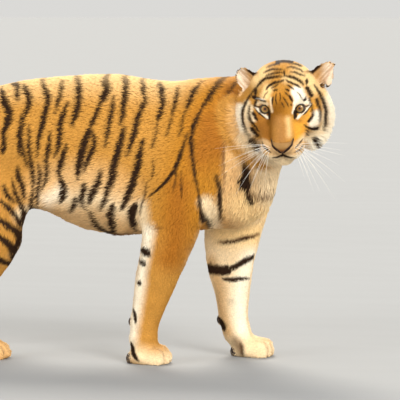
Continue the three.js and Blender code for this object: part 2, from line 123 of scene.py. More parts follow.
def curve_through(points: Array, steps: int) -> Array:
    """Returns a smooth curve through rows of points, with each span divided into steps.

    Args:
        points: Places, one row each.
        steps: How many steps each span has.

    Returns:
        The curve's places.
    """
    rows = np.asarray(points, float)
    ends = np.vstack([2 * rows[0] - rows[1], rows, 2 * rows[-1] - rows[-2]])
    t = np.linspace(0.0, 1.0, steps, endpoint=False)[:, None]
    spans = [
        0.5 * (2 * b + (c - a) * t + (2 * a - 5 * b + 4 * c - d) * t**2 + (3 * b - a - 3 * c + d) * t**3)
        for a, b, c, d in zip(ends[:-3], ends[1:-2], ends[2:-1], ends[3:])
    ]
    return np.vstack([*spans, rows[-1:]])


def nearest_on(rows: Array, points: Array) -> tuple[Array, Array]:
    """Finds each point's distance from a line, and the nearest place on it.

    Args:
        rows: The line's places.
        points: The points to measure.

    Returns:
        The distances, and the places as a row's number and the share on to the next.
    """
    best, place = np.full(len(points), np.inf), np.zeros(len(points))
    for i, (a, b) in enumerate(zip(rows[:-1], rows[1:])):
        step = b - a
        t = np.clip((points - a) @ step / max(step @ step, 1e-9), 0.0, 1.0)
        gap = np.linalg.norm(points - a - t[:, None] * step, axis=1)
        place = np.where(gap < best, i + t, place)
        best = np.minimum(gap, best)
    return best, place


class Noise:
    """Smooth noise on a lattice, the same on every run."""

    def __init__(self, seed: int) -> None:
        """Fills the lattice's table of values from a seed."""
        self.table = np.random.default_rng(seed).uniform(-1.0, 1.0, 4096)

    def at(self, points: Array, size: float) -> Array:
        """Returns the noise at points.

        Args:
            points: Places, three columns.
            size: The width of the noise's lumps.

        Returns:
            A value from -1 to 1 for each point.
        """
        scaled = points / size
        cell = np.floor(scaled).astype(np.int64)
        t = scaled - cell
        t = t * t * (3.0 - 2.0 * t)
        total = np.zeros(len(points))
        for corner in range(8):
            step = np.array([corner & 1, (corner >> 1) & 1, corner >> 2])
            share = np.prod(np.where(step == 1, t, 1.0 - t), axis=1)
            key = ((cell + step) * np.array([73856093, 19349663, 83492791])).T
            total += share * self.table[(key[0] ^ key[1] ^ key[2]) & 4095]
        return total


# ---- The two frames ----


@dataclass(frozen=True)
class Posture:
    """How the head is turned on the trunk, in degrees, and where its origin lies."""

    yaw: float = -81.0
    pitch: float = 30.0
    roll: float = 1.5
    eye_midpoint: Triple = (334.0, -222.0, 884.0)
    eye_ahead: float = 2.0

    def axes(self) -> Array:
        """Returns the head's forward, left and up directions as the columns of a matrix."""
        turn = Euler((math.radians(self.roll), math.radians(self.pitch), math.radians(self.yaw)))
        return np.array(turn.to_matrix())

    def trunk_origin(self) -> Array:
        """Returns the trunk frame's origin in the model's frame, in metres, from the eyes.

        Returns:
            One place in metres.
        """
        corners = [np.array(corner) for side in ("left", "right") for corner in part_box(f"eye_{side}")]
        ahead = self.axes()[:, 0] * self.eye_ahead
        return np.mean(corners, axis=0) - (np.array(self.eye_midpoint) + ahead) * MM

    def to_head(self, points: Array) -> Array:
        """Returns trunk-frame points in the head's frame."""
        return (points - np.array(self.eye_midpoint)) @ self.axes()

    def from_head(self, points: Array) -> Array:
        """Returns head-frame points in the trunk's frame."""
        return np.asarray(points, float) @ self.axes().T + np.array(self.eye_midpoint)

    def turn_from_head(self, directions: Array) -> Array:
        """Returns head-frame directions in the trunk's frame."""
        return np.asarray(directions, float) @ self.axes().T


POSTURE = Posture()
ORIGIN = POSTURE.trunk_origin()


def to_model(points: Array) -> Array:
    """Returns trunk-frame millimetres as metres in the model's frame."""
    return points * MM + ORIGIN


def to_trunk(points: Array) -> Array:
    """Returns the model frame's metres as trunk-frame millimetres."""
    return (points - ORIGIN) / MM


# ---- Meshes ----


def placed(name: str, data: bpy.types.ID) -> bpy.types.Object:
    """Returns a new object that shows some data in the scene.

    Args:
        name: The object's name.
        data: What it shows.

    Returns:
        The object, linked to the scene.
    """
    thing = bpy.data.objects.new(name, data)
    bpy.context.scene.collection.objects.link(thing)
    return thing


def new_object(name: str, points: Array, faces: Array) -> bpy.types.Object:
    """Makes a smooth-shaded mesh object.

    Args:
        name: The object's name.
        points: Trunk-frame places in millimetres.
        faces: Vertex numbers, one row for each face, all with the same number of corners.

    Returns:
        The object, linked to the scene.
    """
    mesh = bpy.data.meshes.new(name)
    corners = faces.shape[1]
    mesh.vertices.add(len(points))
    mesh.vertices.foreach_set("co", to_model(points).astype(np.float32).ravel())
    mesh.loops.add(faces.size)
    mesh.loops.foreach_set("vertex_index", faces.astype(np.int32).ravel())
    mesh.polygons.add(len(faces))
    mesh.polygons.foreach_set("loop_start", np.arange(0, faces.size, corners, dtype=np.int32))
    mesh.update(calc_edges=True)
    mesh.validate()
    mesh.shade_smooth()
    return placed(name, mesh)


def read(items: Sequence, name: str, width: int, kind: type = float) -> Array:
    """Reads one attribute of every item of a Blender collection, one row for each.

    Args:
        items: The collection.
        name: The attribute.
        width: How many values an item has.
        kind: Their type.

    Returns:
        The values.
    """
    values = np.empty(len(items) * width, kind)
    items.foreach_get(name, values)
    return values.reshape(-1, width)


def remesh(thing: bpy.types.Object, grain: float) -> None:
    """Remakes an object as one closed surface with faces as wide as the grain.

    Args:
        thing: The object.
        grain: The width in millimetres.
    """
    modifier = thing.modifiers.new("one_surface", "REMESH")
    modifier.mode = "VOXEL"
    modifier.voxel_size = grain * MM
    made = bpy.data.meshes.new_from_object(thing.evaluated_get(bpy.context.evaluated_depsgraph_get()))
    old = thing.data
    thing.modifiers.clear()
    thing.data = made
    bpy.data.meshes.remove(old)


def paint(thing: bpy.types.Object, layer: str, colours: Array) -> None:
    """Stores a colour for each vertex of an object in a named layer.

    Args:
        thing: The object.
        layer: The layer's name.
        colours: Linear colours.
    """
    attribute = thing.data.attributes.new(layer, "FLOAT_COLOR", "POINT")
    rgba = np.ones((len(colours), 4), np.float32)
    rgba[:, :3] = colours
    attribute.data.foreach_set("color", rgba.ravel())


def settle(thing: bpy.types.Object, nodes: Sequence[str], finish: "Finish") -> None:
    """Gives a piece its material and slot, and hides the solids that it stands for.

    Args:
        thing: The piece.
        nodes: The solids it replaces, or none.
        finish: What it is finished with.
    """
    thing.data.materials.clear()
    thing.data.materials.append(finish.material())
    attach(thing, "root")
    if nodes:
        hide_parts(*nodes)
    LOG.info("%s: %d vertices, %d faces", thing.name, len(thing.data.vertices), len(thing.data.polygons))


class Net:
    """A mesh's triangles and each vertex's neighbours, as arrays."""

    def __init__(self, mesh: bpy.types.Mesh) -> None:
        """Reads a mesh's vertices, edges and triangles.

        Args:
            mesh: The mesh.
        """
        count = len(mesh.vertices)
        self.points = to_trunk(read(mesh.vertices, "co", 3))
        edges = read(mesh.edges, "vertices", 2, np.int32)
        both = np.concatenate([edges, edges[:, ::-1]])
        both = both[np.argsort(both[:, 0], kind="stable")]
        self.to = both[:, 1]
        self.starts = np.searchsorted(both[:, 0], np.arange(count))
        self.degree = np.bincount(both[:, 0], minlength=count)[:, None]
        mesh.calc_loop_triangles()
        self.triangles = read(mesh.loop_triangles, "vertices", 3, np.int32)

    def smooth(self, values: Array, share: Array | float, rounds: int) -> Array:
        """Moves each vertex's values towards the mean of its neighbours'.

        Args:
            values: One row for each vertex.
            share: How far to move in each round, from 0 to 1.
            rounds: How many times.

        Returns:
            The smoothed values.
        """
        for _ in range(rounds):
            mean = np.add.reduceat(values[self.to], self.starts) / self.degree
            values = values + share * (mean - values)
        return values

    def normals(self) -> Array:
        """Returns the unit normal at each vertex.

        Returns:
            One unit vector for each vertex.
        """
        a, b, c = (self.points[self.triangles[:, i]] for i in range(3))
        cross = np.cross(b - a, c - a)
        total = np.zeros_like(self.points)
        for i in range(3):
            for axis in range(3):
                total[:, axis] += np.bincount(self.triangles[:, i], cross[:, axis], len(total))
        return unit(total)

    def save(self, mesh: bpy.types.Mesh) -> None:
        """Writes the points back to a mesh with the same vertices."""
        mesh.vertices.foreach_set("co", to_model(self.points).astype(np.float32).ravel())
        mesh.update()


# ---- The form of the head ----


def oval_distance(q: Array, halves: Array) -> Array:
    """Returns about the distance of points from an oval of some half sizes, below zero inside.

    Args:
        q: Points as seen from the oval's middle.
        halves: Its half sizes.

    Returns:
        One distance for each point.
    """
    reach = np.linalg.norm(q / halves, axis=-1)
    slope = np.linalg.norm(q / np.square(halves), axis=-1)
    inside = -np.min(halves, axis=-1)
    return np.where(slope > 1e-9, reach * (reach - 1.0) / np.maximum(slope, 1e-9), inside)


@dataclass(frozen=True)
class Lump:
    """An oval of flesh, or a hollow where `carve` is set, blended into those before it."""

    at: Triple
    half: Triple
    soft: float
    paired: bool = False
    carve: bool = False
    pitch: float = 0.0
    yaw: float = 0.0

    def mirror(self) -> "Lump":
        """Returns the same lump on the other side."""
        return Lump(flip(self.at), self.half, self.soft, False, self.carve, self.pitch, -self.yaw)

    def distance(self, points: Array) -> Array:
        """Returns the distance of head-frame points from the lump."""
        turn = np.array(Euler((0.0, math.radians(self.pitch), math.radians(self.yaw))).to_matrix())
        return oval_distance((points - np.array(self.at)) @ turn, np.array(self.half))


@dataclass(frozen=True)
class Tube:
    """A tube in the head's middle plane through stations (x, z, depth, width)."""

    stations: tuple[tuple[float, float, float, float], ...]
    soft: float
    paired: bool = False
    carve: bool = False

    def distance(self, points: Array) -> Array:
        """Returns the distance of head-frame points from the tube.

        Args:
            points: Head-frame points.

        Returns:
            One distance for each, below zero inside.
        """
        rows = curve_through(np.array(self.stations), 4)
        nearest = np.full(len(points), np.inf)
        for a, b in zip(rows[:-1], rows[1:]):
            along = (b[:2] - a[:2]) / np.linalg.norm(b[:2] - a[:2])
            length = np.linalg.norm(b[:2] - a[:2])
            offset = points[:, [0, 2]] - a[:2]
            travel = offset @ along
            t = np.clip(travel / length, 0.0, 1.0)
            size = a[2:] + (b[2:] - a[2:]) * t[:, None]
            up = offset @ np.array([-along[1], along[0]])
            q = np.stack([up, points[:, 1], travel - t * length], axis=1)
            halves = np.stack([size[:, 0], size[:, 1], size.min(axis=1)], axis=1)
            nearest = np.minimum(nearest, oval_distance(q, halves))
        return nearest


@dataclass(frozen=True)
class HeadForm:
    """The head's shape as one field of lumps and tubes, in the head's frame."""

    parts: tuple = (
        Lump((-100, 0, 6), (112, 116, 102), 1),  # cranium
        Lump((-50, 74, -50), (74, 60, 64), 34, True),  # cheeks
        Lump((-96, 100, -84), (60, 64, 98), 30, True),  # ruff
        Lump((-56, 78, -136), (52, 56, 52), 36, True),  # jowls
        Lump((-20, 42, 36), (42, 34, 24), 22, True),  # brows
        Lump((26, 38, -66), (58, 38, 44), 30, True),  # upper jaw
        Tube(((-30, 14, 54, 46), (30, -4, 44, 40), (85, -40, 38, 37), (122, -64, 27, 33)), 30),
        Lump((80, 35, -98), (46, 38, 34), 20, True),  # whisker pads
        Tube(((-70, -118, 52, 78), (0, -135, 44, 66), (56, -142, 30, 48), (84, -142, 22, 36)), 24),
        Tube(((-60, -100, 70, 84), (-150, -90, 90, 100)), 40),  # throat
        Lump((126, 0, -74), (18, 33, 19), 12),  # under the nose leather
        Lump((104, 28, -106), (27, 27, 25), 14, True),  # fullness of the whisker pads
        Lump((80, 0, -148), (24, 25, 15), 12),  # chin
        Lump((44, 72, 8), (26, 20, 20), 18, True, True, 0, -25),  # hollow of the eye
        Lump((0, 0, 84), (70, 5, 18), 16, False, True, 25),  # groove of the forehead
        Lump((119, 0, -112), (12, 2.6, 22), 7, False, True),  # groove under the nose
    )

    def distance(self, points: Array) -> Array:
        """Returns the distance of head-frame points from the head's surface.

        Args:
            points: Head-frame points.

        Returns:
            One distance for each, below zero inside.
        """
        shape = np.full(len(points), np.inf)
        for part in mirrored(self.parts):
            way = -1.0 if part.carve else 1.0
            d = part.distance(points)
            overlap = np.maximum(part.soft - np.abs(way * shape - d), 0.0) ** 2 / (4 * part.soft)
            shape = way * (np.minimum(way * shape, d) - overlap)
        return shape

    def settle(self, points: Array, rounds: int, most: float) -> Array:
        """Moves points onto the head's surface in short steps.

        Args:
            points: Head-frame points.
            rounds: How many steps.
            most: The longest step in millimetres.

        Returns:
            The moved points.
        """
        probe = 0.4
        for _ in range(rounds):
            d = self.distance(points)
            slope = np.stack(
                [(self.distance(points + probe * axis) - d) / probe for axis in np.eye(3)], axis=1
            )
            steepness = np.maximum(np.sum(slope**2, axis=1), 0.2)
            step = slope * (d / steepness)[:, None]
            length = np.linalg.norm(step, axis=1, keepdims=True)
            points = points - step * np.minimum(1.0, most / np.maximum(length, 1e-9))
        return points


@dataclass(frozen=True)
class EyeSet:
    """One eye and its opening, on the left side and mirrored on the right."""

    centre: Triple = (-1.5, 57.5, -1.5)
    radius: float = 21.0
    opening_axis: Triple = (0.86, 0.2, 0.47)
    slant: float = 10.0
    half_width: float = 15.0
    half_height: float = 12.6
    inner_reach: float = 7.0
    lid: float = 2.6

    def axes(self, side: Side) -> Array:
        """Returns the opening's outward, sideways (away from the nose) and upward directions.

        Args:
            side: Which eye.

        Returns:
            Three directions in the head's frame, one row each.
        """
        out = unit(np.array(self.opening_axis))
        sideways = unit(np.cross(np.array([0.0, 0.0, 1.0]), out))
        up = np.cross(out, sideways)
        s, c = math.sin(math.radians(self.slant)), math.cos(math.radians(self.slant))
        rows = np.array([out, c * sideways + s * up, c * up - s * sideways])
        return rows * np.array([1.0, side.value, 1.0])

    def middle(self, side: Side) -> Array:
        """Returns the eyeball's centre in the head's frame."""
        return np.array(self.centre) * np.array([1.0, side.value, 1.0])

    def view(self, side: Side, q: Array) -> tuple[Array, Array, Array]:
        """Looks at points from one eye.

        Args:
            side: Which eye.
            q: Head-frame points.

        Returns:
            The offsets, the distances ahead and the shares inside.
        """
        out, wide, high = self.axes(side)
        offset = q - self.middle(side)
        return offset, offset @ out, self.inside(offset @ wide, offset @ high)

    def outline(self, turn: Array) -> Array:
        """Returns the opening's edge, sideways and upward, at angles from its outer corner.

        Args:
            turn: The angles in radians.

        Returns:
            Two columns in millimetres.
        """
        inward = np.maximum(-np.cos(turn), 0.0)
        wide = self.half_width * np.cos(turn) - self.inner_reach * inward**5
        high = self.half_height * np.sin(turn) * (1 - 0.35 * inward**4) - 4.0 * inward**6
        return np.stack([wide, high], axis=-1)

    def inside(self, wide: Array, high: Array) -> Array:
        """Returns how far inside the opening points are, as 1 at its middle and 0 at its edge."""
        turn = np.arctan2(high / self.half_height, wide / self.half_width)
        return 1.0 - np.hypot(wide, high) / np.linalg.norm(self.outline(turn), axis=-1)


@dataclass(frozen=True)
class NoseForm:
    """The nose leather's outline on the front of the muzzle, and its nostrils, across and up."""

    middle: Pair = (0.0, -62.0)
    edge: tuple[Pair, ...] = (
        (0, -46), (14, -47), (27, -50), (35, -53), (39, -58),
        (35, -65), (26, -71), (15, -79), (7, -85), (0, -88),
    )
    nostril: tuple[Pair, ...] = ((36, -56), (31, -62), (22, -68), (12, -76), (3, -83))

    def reach(self, turn: Array) -> Array:
        """Returns the distance from the middle to the edge at angles from the upward direction.

        Args:
            turn: The angles in radians.

        Returns:
            The distances in millimetres.
        """
        rows = curve_through(np.array(self.edge), 6) - np.array(self.middle)
        angles = np.arctan2(np.abs(rows[:, 0]), rows[:, 1])
        return np.interp(np.abs((turn + math.pi) % (2 * math.pi) - math.pi), angles, np.hypot(*rows.T))

    def share(self, q: Array) -> Array:
        """Returns how far head-frame points are from the middle towards the edge, 1 on it."""
        across, up = q[:, 1] - self.middle[0], q[:, 2] - self.middle[1]
        return np.where(q[:, 0] > 84, np.hypot(across, up) / self.reach(np.arctan2(across, up)), 9.0)


HEAD = HeadForm()
EYES = EyeSet()
NOSE = NoseForm()


@dataclass(frozen=True)
class EarForm:
    """An ear: a thin oval, narrower at its tip and pushed back in the middle as a cup."""

    root: Triple
    tip: Triple
    facing: Triple
    half_width: float = 47.0
    thickness: float = 4.2
    cup: float = 26.0
    taper: float = 0.22
    root_depth: float = 12.0
    hair_length: float = 7.0
    hair_depth: float = 1.0

    def local(self, points: Array) -> Array:
        """Returns points as millimetres ahead of the ear, and across and along it from -1 to 1.

        Args:
            points: Head-frame points.

        Returns:
            Three columns.
        """
        along = np.array(self.tip) - np.array(self.root)
        half_length = np.linalg.norm(along) / 2 + self.root_depth
        along = unit(along)
        front = np.array(self.facing)
        front = unit(front - along * (front @ along))
        across = np.cross(along, front)
        offset = points - (np.array(self.tip) - along * half_length)
        long = offset @ along / half_length
        half_width = self.half_width * np.maximum(1 - self.taper * long - 0.1 * long**2, 0.2)
        wide = offset @ across / half_width
        pushed = self.cup * (1 - wide**2) * (1 - 0.35 * long)
        return np.stack([offset @ front + pushed, wide, long], axis=1)

    def distance(self, points: Array) -> Array:
        """Returns about the distance of head-frame points from the ear's surface."""
        ahead, wide, long = self.local(points).T
        return (np.sqrt((ahead / self.thickness) ** 2 + wide**2 + long**2) - 1.0) * self.thickness


EARS = {
    Side.LEFT: EarForm((-106, 114, 30), (-132, 172, 90), (0.86, 0.3, 0.4)),
    Side.RIGHT: EarForm((-106, -112, 24), (-150, -164, 64), (0.78, -0.5, 0.4)),
}


@dataclass(frozen=True)
class PawForm:
    """A paw's toes: four side by side, with a cleft between each two."""

    front: float
    middle: float
    spacing: float
    long: float = 74.0
    high: float = 78.0
    cleft_width: float = 4.2

    def cleft(self, points: Array) -> Array:
        """Returns how deep in a cleft between toes trunk-frame points are, from 0 to 1.

        Args:
            points: Trunk-frame points.

        Returns:
            One share for each.
        """
        behind = self.front - points[:, 0]
        here = (behind > -20) & (behind < self.long + 20)
        across = (points[:, 1] - self.middle) / (1.0 + 0.002 * (self.long - behind))
        gap = np.abs(across - self.spacing * np.clip(np.round(across / self.spacing), -1, 1))
        reach = 1 - smoothstep(self.long - 34, self.long, behind)
        low = 1 - smoothstep(self.high - 26, self.high, points[:, 2])
        return here * np.exp(-((gap / self.cleft_width) ** 2)) * reach * low


PAWS = (
    PawForm(-70.0, -130.0, 29.0),
    PawForm(236.0, 130.0, 29.0),
    PawForm(-646.0, -130.0, 25.0, 66.0, 66.0),
    PawForm(-876.0, 130.0, 25.0, 66.0, 66.0),
)


# ---- The coat's lie, length and depth ----


@dataclass(frozen=True)
class Zone:
    """A stretch of coat: which way it lies, the length of its locks and how far they rise."""

    at: Triple
    reach: float
    lie: Triple
    length: float
    depth: float
    paired: bool = False

    def mirror(self) -> "Zone":
        """Returns the same zone on the other side."""
        return Zone(flip(self.at), self.reach, flip(self.lie), self.length, self.depth)


BODY_ZONES = (
    Zone((-60, 0, 945), 150, (-1, 0, 0), 24, 8),
    Zone((-400, 0, 990), 180, (-1, 0, -0.05), 24, 8),
    Zone((-800, 0, 930), 160, (-1, 0, -0.3), 24, 8),
    Zone((-60, 170, 850), 130, (-1, 0, -0.3), 20, 7, True),
    Zone((-300, 200, 780), 180, (-1, 0, -0.28), 21, 7, True),
    Zone((-300, 180, 570), 140, (-1, 0, -0.35), 27, 9, True),
    Zone((-600, 170, 760), 160, (-1, 0, -0.35), 21, 7, True),
    Zone((-300, 0, 440), 140, (-0.9, 0, -0.5), 38, 14),
    Zone((-60, 0, 450), 120, (-0.9, 0, -0.4), 34, 12),
    Zone((-560, 0, 520), 120, (-0.7, 0, -0.6), 32, 12),
    Zone((30, 180, 800), 120, (-0.8, 0, -0.5), 19, 7, True),
    Zone((40, 200, 650), 110, (-0.5, 0, -0.85), 18, 6, True),
    Zone((-110, 140, 520), 80, (-0.6, 0, -0.8), 25, 9, True),
    Zone((210, 0, 640), 120, (-0.25, 0, -1), 40, 13),
    Zone((150, 120, 680), 100, (-0.5, 0, -0.85), 32, 11, True),
    Zone((250, -20, 740), 90, (-0.3, 0, -0.95), 36, 12),
    Zone((120, 20, 960), 110, (-1, 0, -0.1), 25, 9),
    Zone((170, -110, 840), 100, (-0.85, 0, -0.5), 28, 9),
    Zone((170, 150, 840), 100, (-0.9, 0, -0.4), 28, 9),
    Zone((-90, -132, 400), 100, (-0.2, 0, -1), 12, 4),
    Zone((-155, -130, 200), 90, (-0.12, 0, -1), 9, 3),
    Zone((90, 132, 400), 100, (-0.1, 0, -1), 12, 4),
    Zone((85, 130, 200), 90, (0.05, 0, -1), 9, 3),
    Zone((-130, -130, 40), 75, (0.9, 0, -0.5), 8, 2.5),
    Zone((180, 130, 40), 75, (0.9, 0, -0.5), 8, 2.5),
    Zone((-760, 150, 660), 150, (-0.5, 0, -0.8), 19, 7, True),
    Zone((-680, 140, 480), 90, (-0.3, 0, -0.95), 16, 6, True),
    Zone((-730, -134, 330), 90, (-0.45, 0, -0.9), 13, 4.5),
    Zone((-860, 134, 330), 90, (-0.75, 0, -0.7), 13, 4.5),
    Zone((-760, -131, 150), 80, (0.2, 0, -1), 9, 3),
    Zone((-960, 131, 150), 80, (0.1, 0, -1), 9, 3),
    Zone((-700, -130, 40), 70, (0.9, 0, -0.5), 8, 2.5),
    Zone((-920, 130, 40), 70, (0.9, 0, -0.5), 8, 2.5),
    Zone((-1050, 3, 810), 90, (-0.75, 0, -0.65), 26, 8),
    Zone((-1168, 12, 680), 90, (-0.3, 0, -1), 26, 8),
    Zone((-1212, 26, 500), 90, (-0.15, 0, -1), 26, 8),
    Zone((-1258, 34, 345), 80, (-0.5, 0, -0.85), 26, 8),
    Zone((-1330, 28, 255), 70, (-0.9, 0, -0.35), 26, 8),
    Zone((-1440, 15, 222), 70, (-1, 0, 0.1), 26, 8),
    Zone((-1535, 0, 255), 60, (-0.85, 0, 0.5), 28, 7),
)

HEAD_ZONES = (
    Zone((85, 0, -25), 30, (-0.85, 0, 0.5), 5, 1.6),
    Zone((20, 0, 20), 34, (-0.75, 0, 0.65), 6, 2),
    Zone((98, 34, -96), 24, (-0.75, 0.6, -0.25), 6, 1.8, True),
    Zone((60, 58, -96), 30, (-0.85, 0.45, -0.2), 8, 2.4, True),
    Zone((84, 0, -160), 30, (-0.6, 0, -0.8), 12, 4),
    Zone((30, 40, -165), 34, (-0.8, 0.3, -0.55), 16, 5.5, True),
    Zone((35, 60, -48), 34, (-0.9, 0.4, -0.15), 8, 2.4, True),
    Zone((20, 58, 4), 24, (-0.8, 0.5, 0.15), 4.5, 1.5, True),
    Zone((0, 40, 50), 36, (-0.8, 0.1, 0.6), 7, 2.4, True),
    Zone((-40, 0, 88), 50, (-0.95, 0, 0.3), 10, 3.4),
    Zone((-110, 0, 104), 60, (-1, 0, 0), 14, 5),
    Zone((-170, 0, 70), 60, (-0.8, 0, -0.6), 20, 7),
    Zone((-50, 100, 20), 45, (-0.9, 0.4, -0.1), 13, 4, True),
    Zone((-104, 142, 4), 26, (-0.3, 0.85, 0.3), 32, 8, True),
    Zone((-30, 108, -50), 45, (-0.8, 0.5, -0.35), 17, 5.5, True),
    Zone((-95, 150, -80), 60, (-0.75, 0.4, -0.55), 34, 9, True),
    Zone((-70, 120, -150), 50, (-0.6, 0.35, -0.75), 38, 12, True),
    Zone((-70, 0, -190), 60, (-0.6, 0, -0.8), 32, 11),
)


@dataclass(frozen=True)
class Growth:
    """What the coat does at each of many points: lie, length and depth, one row each."""

    lie: Array
    length: Array
    depth: Array


def zone_mix(zones: Sequence[Zone], points: Array) -> Growth:
    """Returns the coat at points, mixed from the zones near each, all in one frame.

    Args:
        zones: The zones.
        points: Places in the zones' frame.

    Returns:
        The growth at each point.
    """
    lie = np.zeros_like(points)
    length = np.zeros(len(points))
    depth = np.zeros(len(points))
    total = np.zeros(len(points))
    for zone in mirrored(zones):
        gap = np.sum((points - np.array(zone.at)) ** 2, axis=1) / zone.reach**2
        share = np.exp(-gap) + 1e-5 / (1.0 + gap) ** 3
        lie += share[:, None] * unit(np.array(zone.lie))
        length += share * zone.length
        depth += share * zone.depth
        total += share
    return Growth(unit(lie), length / total, depth / total)


def headness(points: Array) -> Array:
    """Returns how much of the head each trunk-frame point belongs to, from 0 to 1.

    Args:
        points: Trunk-frame points.

    Returns:
        One share for each.
    """
    q = POSTURE.to_head(points)
    behind = smoothstep(-215, -125, q[:, 0] + 0.1 * q[:, 2])
    reach = np.linalg.norm(q - np.array([-60.0, 0.0, -40.0]), axis=1)
    return behind * (1.0 - smoothstep(215, 290, reach))


def growth_at(points: Array) -> Growth:
    """Returns the coat's growth at trunk-frame points, over the body and the head.

    Args:
        points: Trunk-frame points.

    Returns:
        The growth at each.
    """
    body = zone_mix(BODY_ZONES, points)
    q = POSTURE.to_head(points)
    head = zone_mix(HEAD_ZONES, q)
    share = headness(points)
    lie = unit(blend(body.lie, POSTURE.turn_from_head(head.lie), share[:, None]))
    length = blend(body.length, head.length, share)
    depth = blend(body.depth, head.depth, share)
    for ear in EARS.values():
        near = 1.0 - smoothstep(2.0, 10.0, ear.distance(q))
        local = ear.local(q)
        near = near * smoothstep(-0.9, -0.35, local[:, 2])
        up = POSTURE.turn_from_head(unit(np.array(ear.tip) - np.array(ear.root)))
        lie = unit(blend(lie, up, near[:, None]))
        length = blend(length, ear.hair_length, near)
        depth = blend(depth, ear.hair_depth, near)
    return Growth(lie, length, depth)


# ---- The skin ----


@dataclass(frozen=True)
class Skin:
    """The one skin under the coat, made from the solids of flesh."""

    grain: float = 7.0
    bare: tuple[str, ...] = ("eye_left", "eye_right", "nose_leather")
    smoothing_rounds: int = 90
    trunk_reach: float = 32.0
    leg_reach: float = 15.0
    paw_reach: float = 6.0
    head_reach: float = 7.0
    eye_hollow: float = 7.0
    nose_hollow: float = 9.0
    toe_cleft: float = 7.5

    def flesh_nodes(self) -> list[str]:
        """Returns the names of the solids that the skin stands for."""
        return sorted(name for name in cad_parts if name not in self.bare and "pad" not in name)

    def rough(self) -> bpy.types.Object:
        """Returns all the solids joined and remeshed as one closed surface.

        Returns:
            The object.
        """
        points, faces, count = [], [], 0
        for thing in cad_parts.values():
            mesh = thing.data
            mesh.calc_loop_triangles()
            points.append(to_trunk(read(mesh.vertices, "co", 3)))
            faces.append(read(mesh.loop_triangles, "vertices", 3, np.int32) + count)
            count += len(mesh.vertices)
        lump = new_object("rough_skin", np.vstack(points), np.vstack(faces))
        remesh(lump, self.grain)
        return lump

    def reach(self, points: Array) -> Array:
        """Returns how far, in millimetres, the facets are smoothed over at each point.

        Args:
            points: Trunk-frame points.

        Returns:
            One reach for each.
        """
        trunk = smoothstep(430, 620, points[:, 2]) * smoothstep(-1080, -960, points[:, 0])
        near_paw = 1.0 - smoothstep(80, 150, points[:, 2])
        legs = blend(self.leg_reach, self.paw_reach, near_paw)
        return blend(blend(legs, self.trunk_reach, trunk), self.head_reach, headness(points))

    def even_out(self, net: Net) -> None:
        """Smooths the facets of the solids away without shrinking the form.

        Args:
            net: The skin's arrays.
        """
        spread = 2.0 * self.reach(net.points) ** 2 / (self.smoothing_rounds * self.grain**2)
        share = np.minimum(spread, 0.9)[:, None]
        first = net.smooth(net.points, share, self.smoothing_rounds)
        rest = net.smooth(net.points - first, share, self.smoothing_rounds)
        net.points = first + rest

    @staticmethod
    def refine(mesh: bpy.types.Mesh, wanted: Array) -> None:
        """Splits each face of a mesh whose corners are all wanted into smaller ones.

        Args:
            mesh: The mesh.
            wanted: Whether each vertex is in the finer part.
        """
        work = bmesh.new()
        work.from_mesh(mesh)
        work.verts.ensure_lookup_table()
        edges = {
            edge
            for face in work.faces
            if all(wanted[v.index] for v in face.verts)
            for edge in face.edges
        }
        bmesh.ops.subdivide_edges(work, edges=list(edges), cuts=1, use_grid_fill=True)
        work.to_mesh(mesh)
        work.free()

    def shape_head(self, net: Net) -> None:
        """Draws the head's vertices onto its own smooth field.

        Args:
            net: The skin's arrays.
        """
        near = np.flatnonzero(headness(net.points) > 0.02)
        q = POSTURE.to_head(net.points[near])
        on_ear = np.zeros(len(q))
        for ear in EARS.values():
            hold = 1.0 - smoothstep(6, 14, ear.distance(q))
            hold = hold * smoothstep(-0.75, -0.35, ear.local(q)[:, 2])
            on_ear = np.maximum(on_ear, hold)
        off = np.abs(HEAD.distance(q))
        share = (1 - smoothstep(9, 22, off)) * smoothstep(0.02, 0.4, headness(net.points[near]))
        share = (share * (1 - on_ear))[:, None]
        settled = HEAD.settle(q, 4, 6.0)
        net.points[near] = POSTURE.from_head(blend(q, settled, share))

    def sink(self, net: Net) -> None:
        """Draws the skin in by the coat's depth."""
        depth = net.smooth(growth_at(net.points).depth[:, None], 0.5, 6)
        net.points = net.points - net.normals() * depth

    def open_eyes(self, net: Net) -> None:
        """Lays the lids over each eyeball and hollows the skin behind its opening.

        Args:
            net: The skin's arrays.
        """
        q = POSTURE.to_head(net.points)
        for side in Side:
            offset, along, inside = EYES.view(side, q)
            reach = np.linalg.norm(offset, axis=1)
            lid = EYES.radius + EYES.lid
            near = (along > -14) & (reach < lid + 14)
            rise = np.maximum(lid - reach, 0.0) * smoothstep(-1.7, -0.9, inside) * near
            q = q + unit(offset) * rise[:, None]
            hollow = near & (inside > 0.0) & (along > 0)
            depth = smoothstep(0.0, 0.16, inside) * self.eye_hollow
            q = np.where(hollow[:, None], q - unit(offset) * depth[:, None], q)
        net.points = POSTURE.from_head(q)

    def seat_nose(self, net: Net) -> None:
        """Hollows the skin behind the nose leather.

        Args:
            net: The skin's arrays.
        """
        q = POSTURE.to_head(net.points)
        q[:, 0] -= self.nose_hollow * (1 - smoothstep(0.88, 1.02, NOSE.share(q)))
        net.points = POSTURE.from_head(q)

    def part_toes(self, net: Net) -> None:
        """Draws the skin in along the clefts between the toes.

        Args:
            net: The skin's arrays.
        """
        depth = sum(paw.cleft(net.points) for paw in PAWS) * self.toe_cleft
        depth = depth * smoothstep(2.0, 10.0, net.points[:, 2])
        net.points = net.points - net.normals() * depth[:, None]

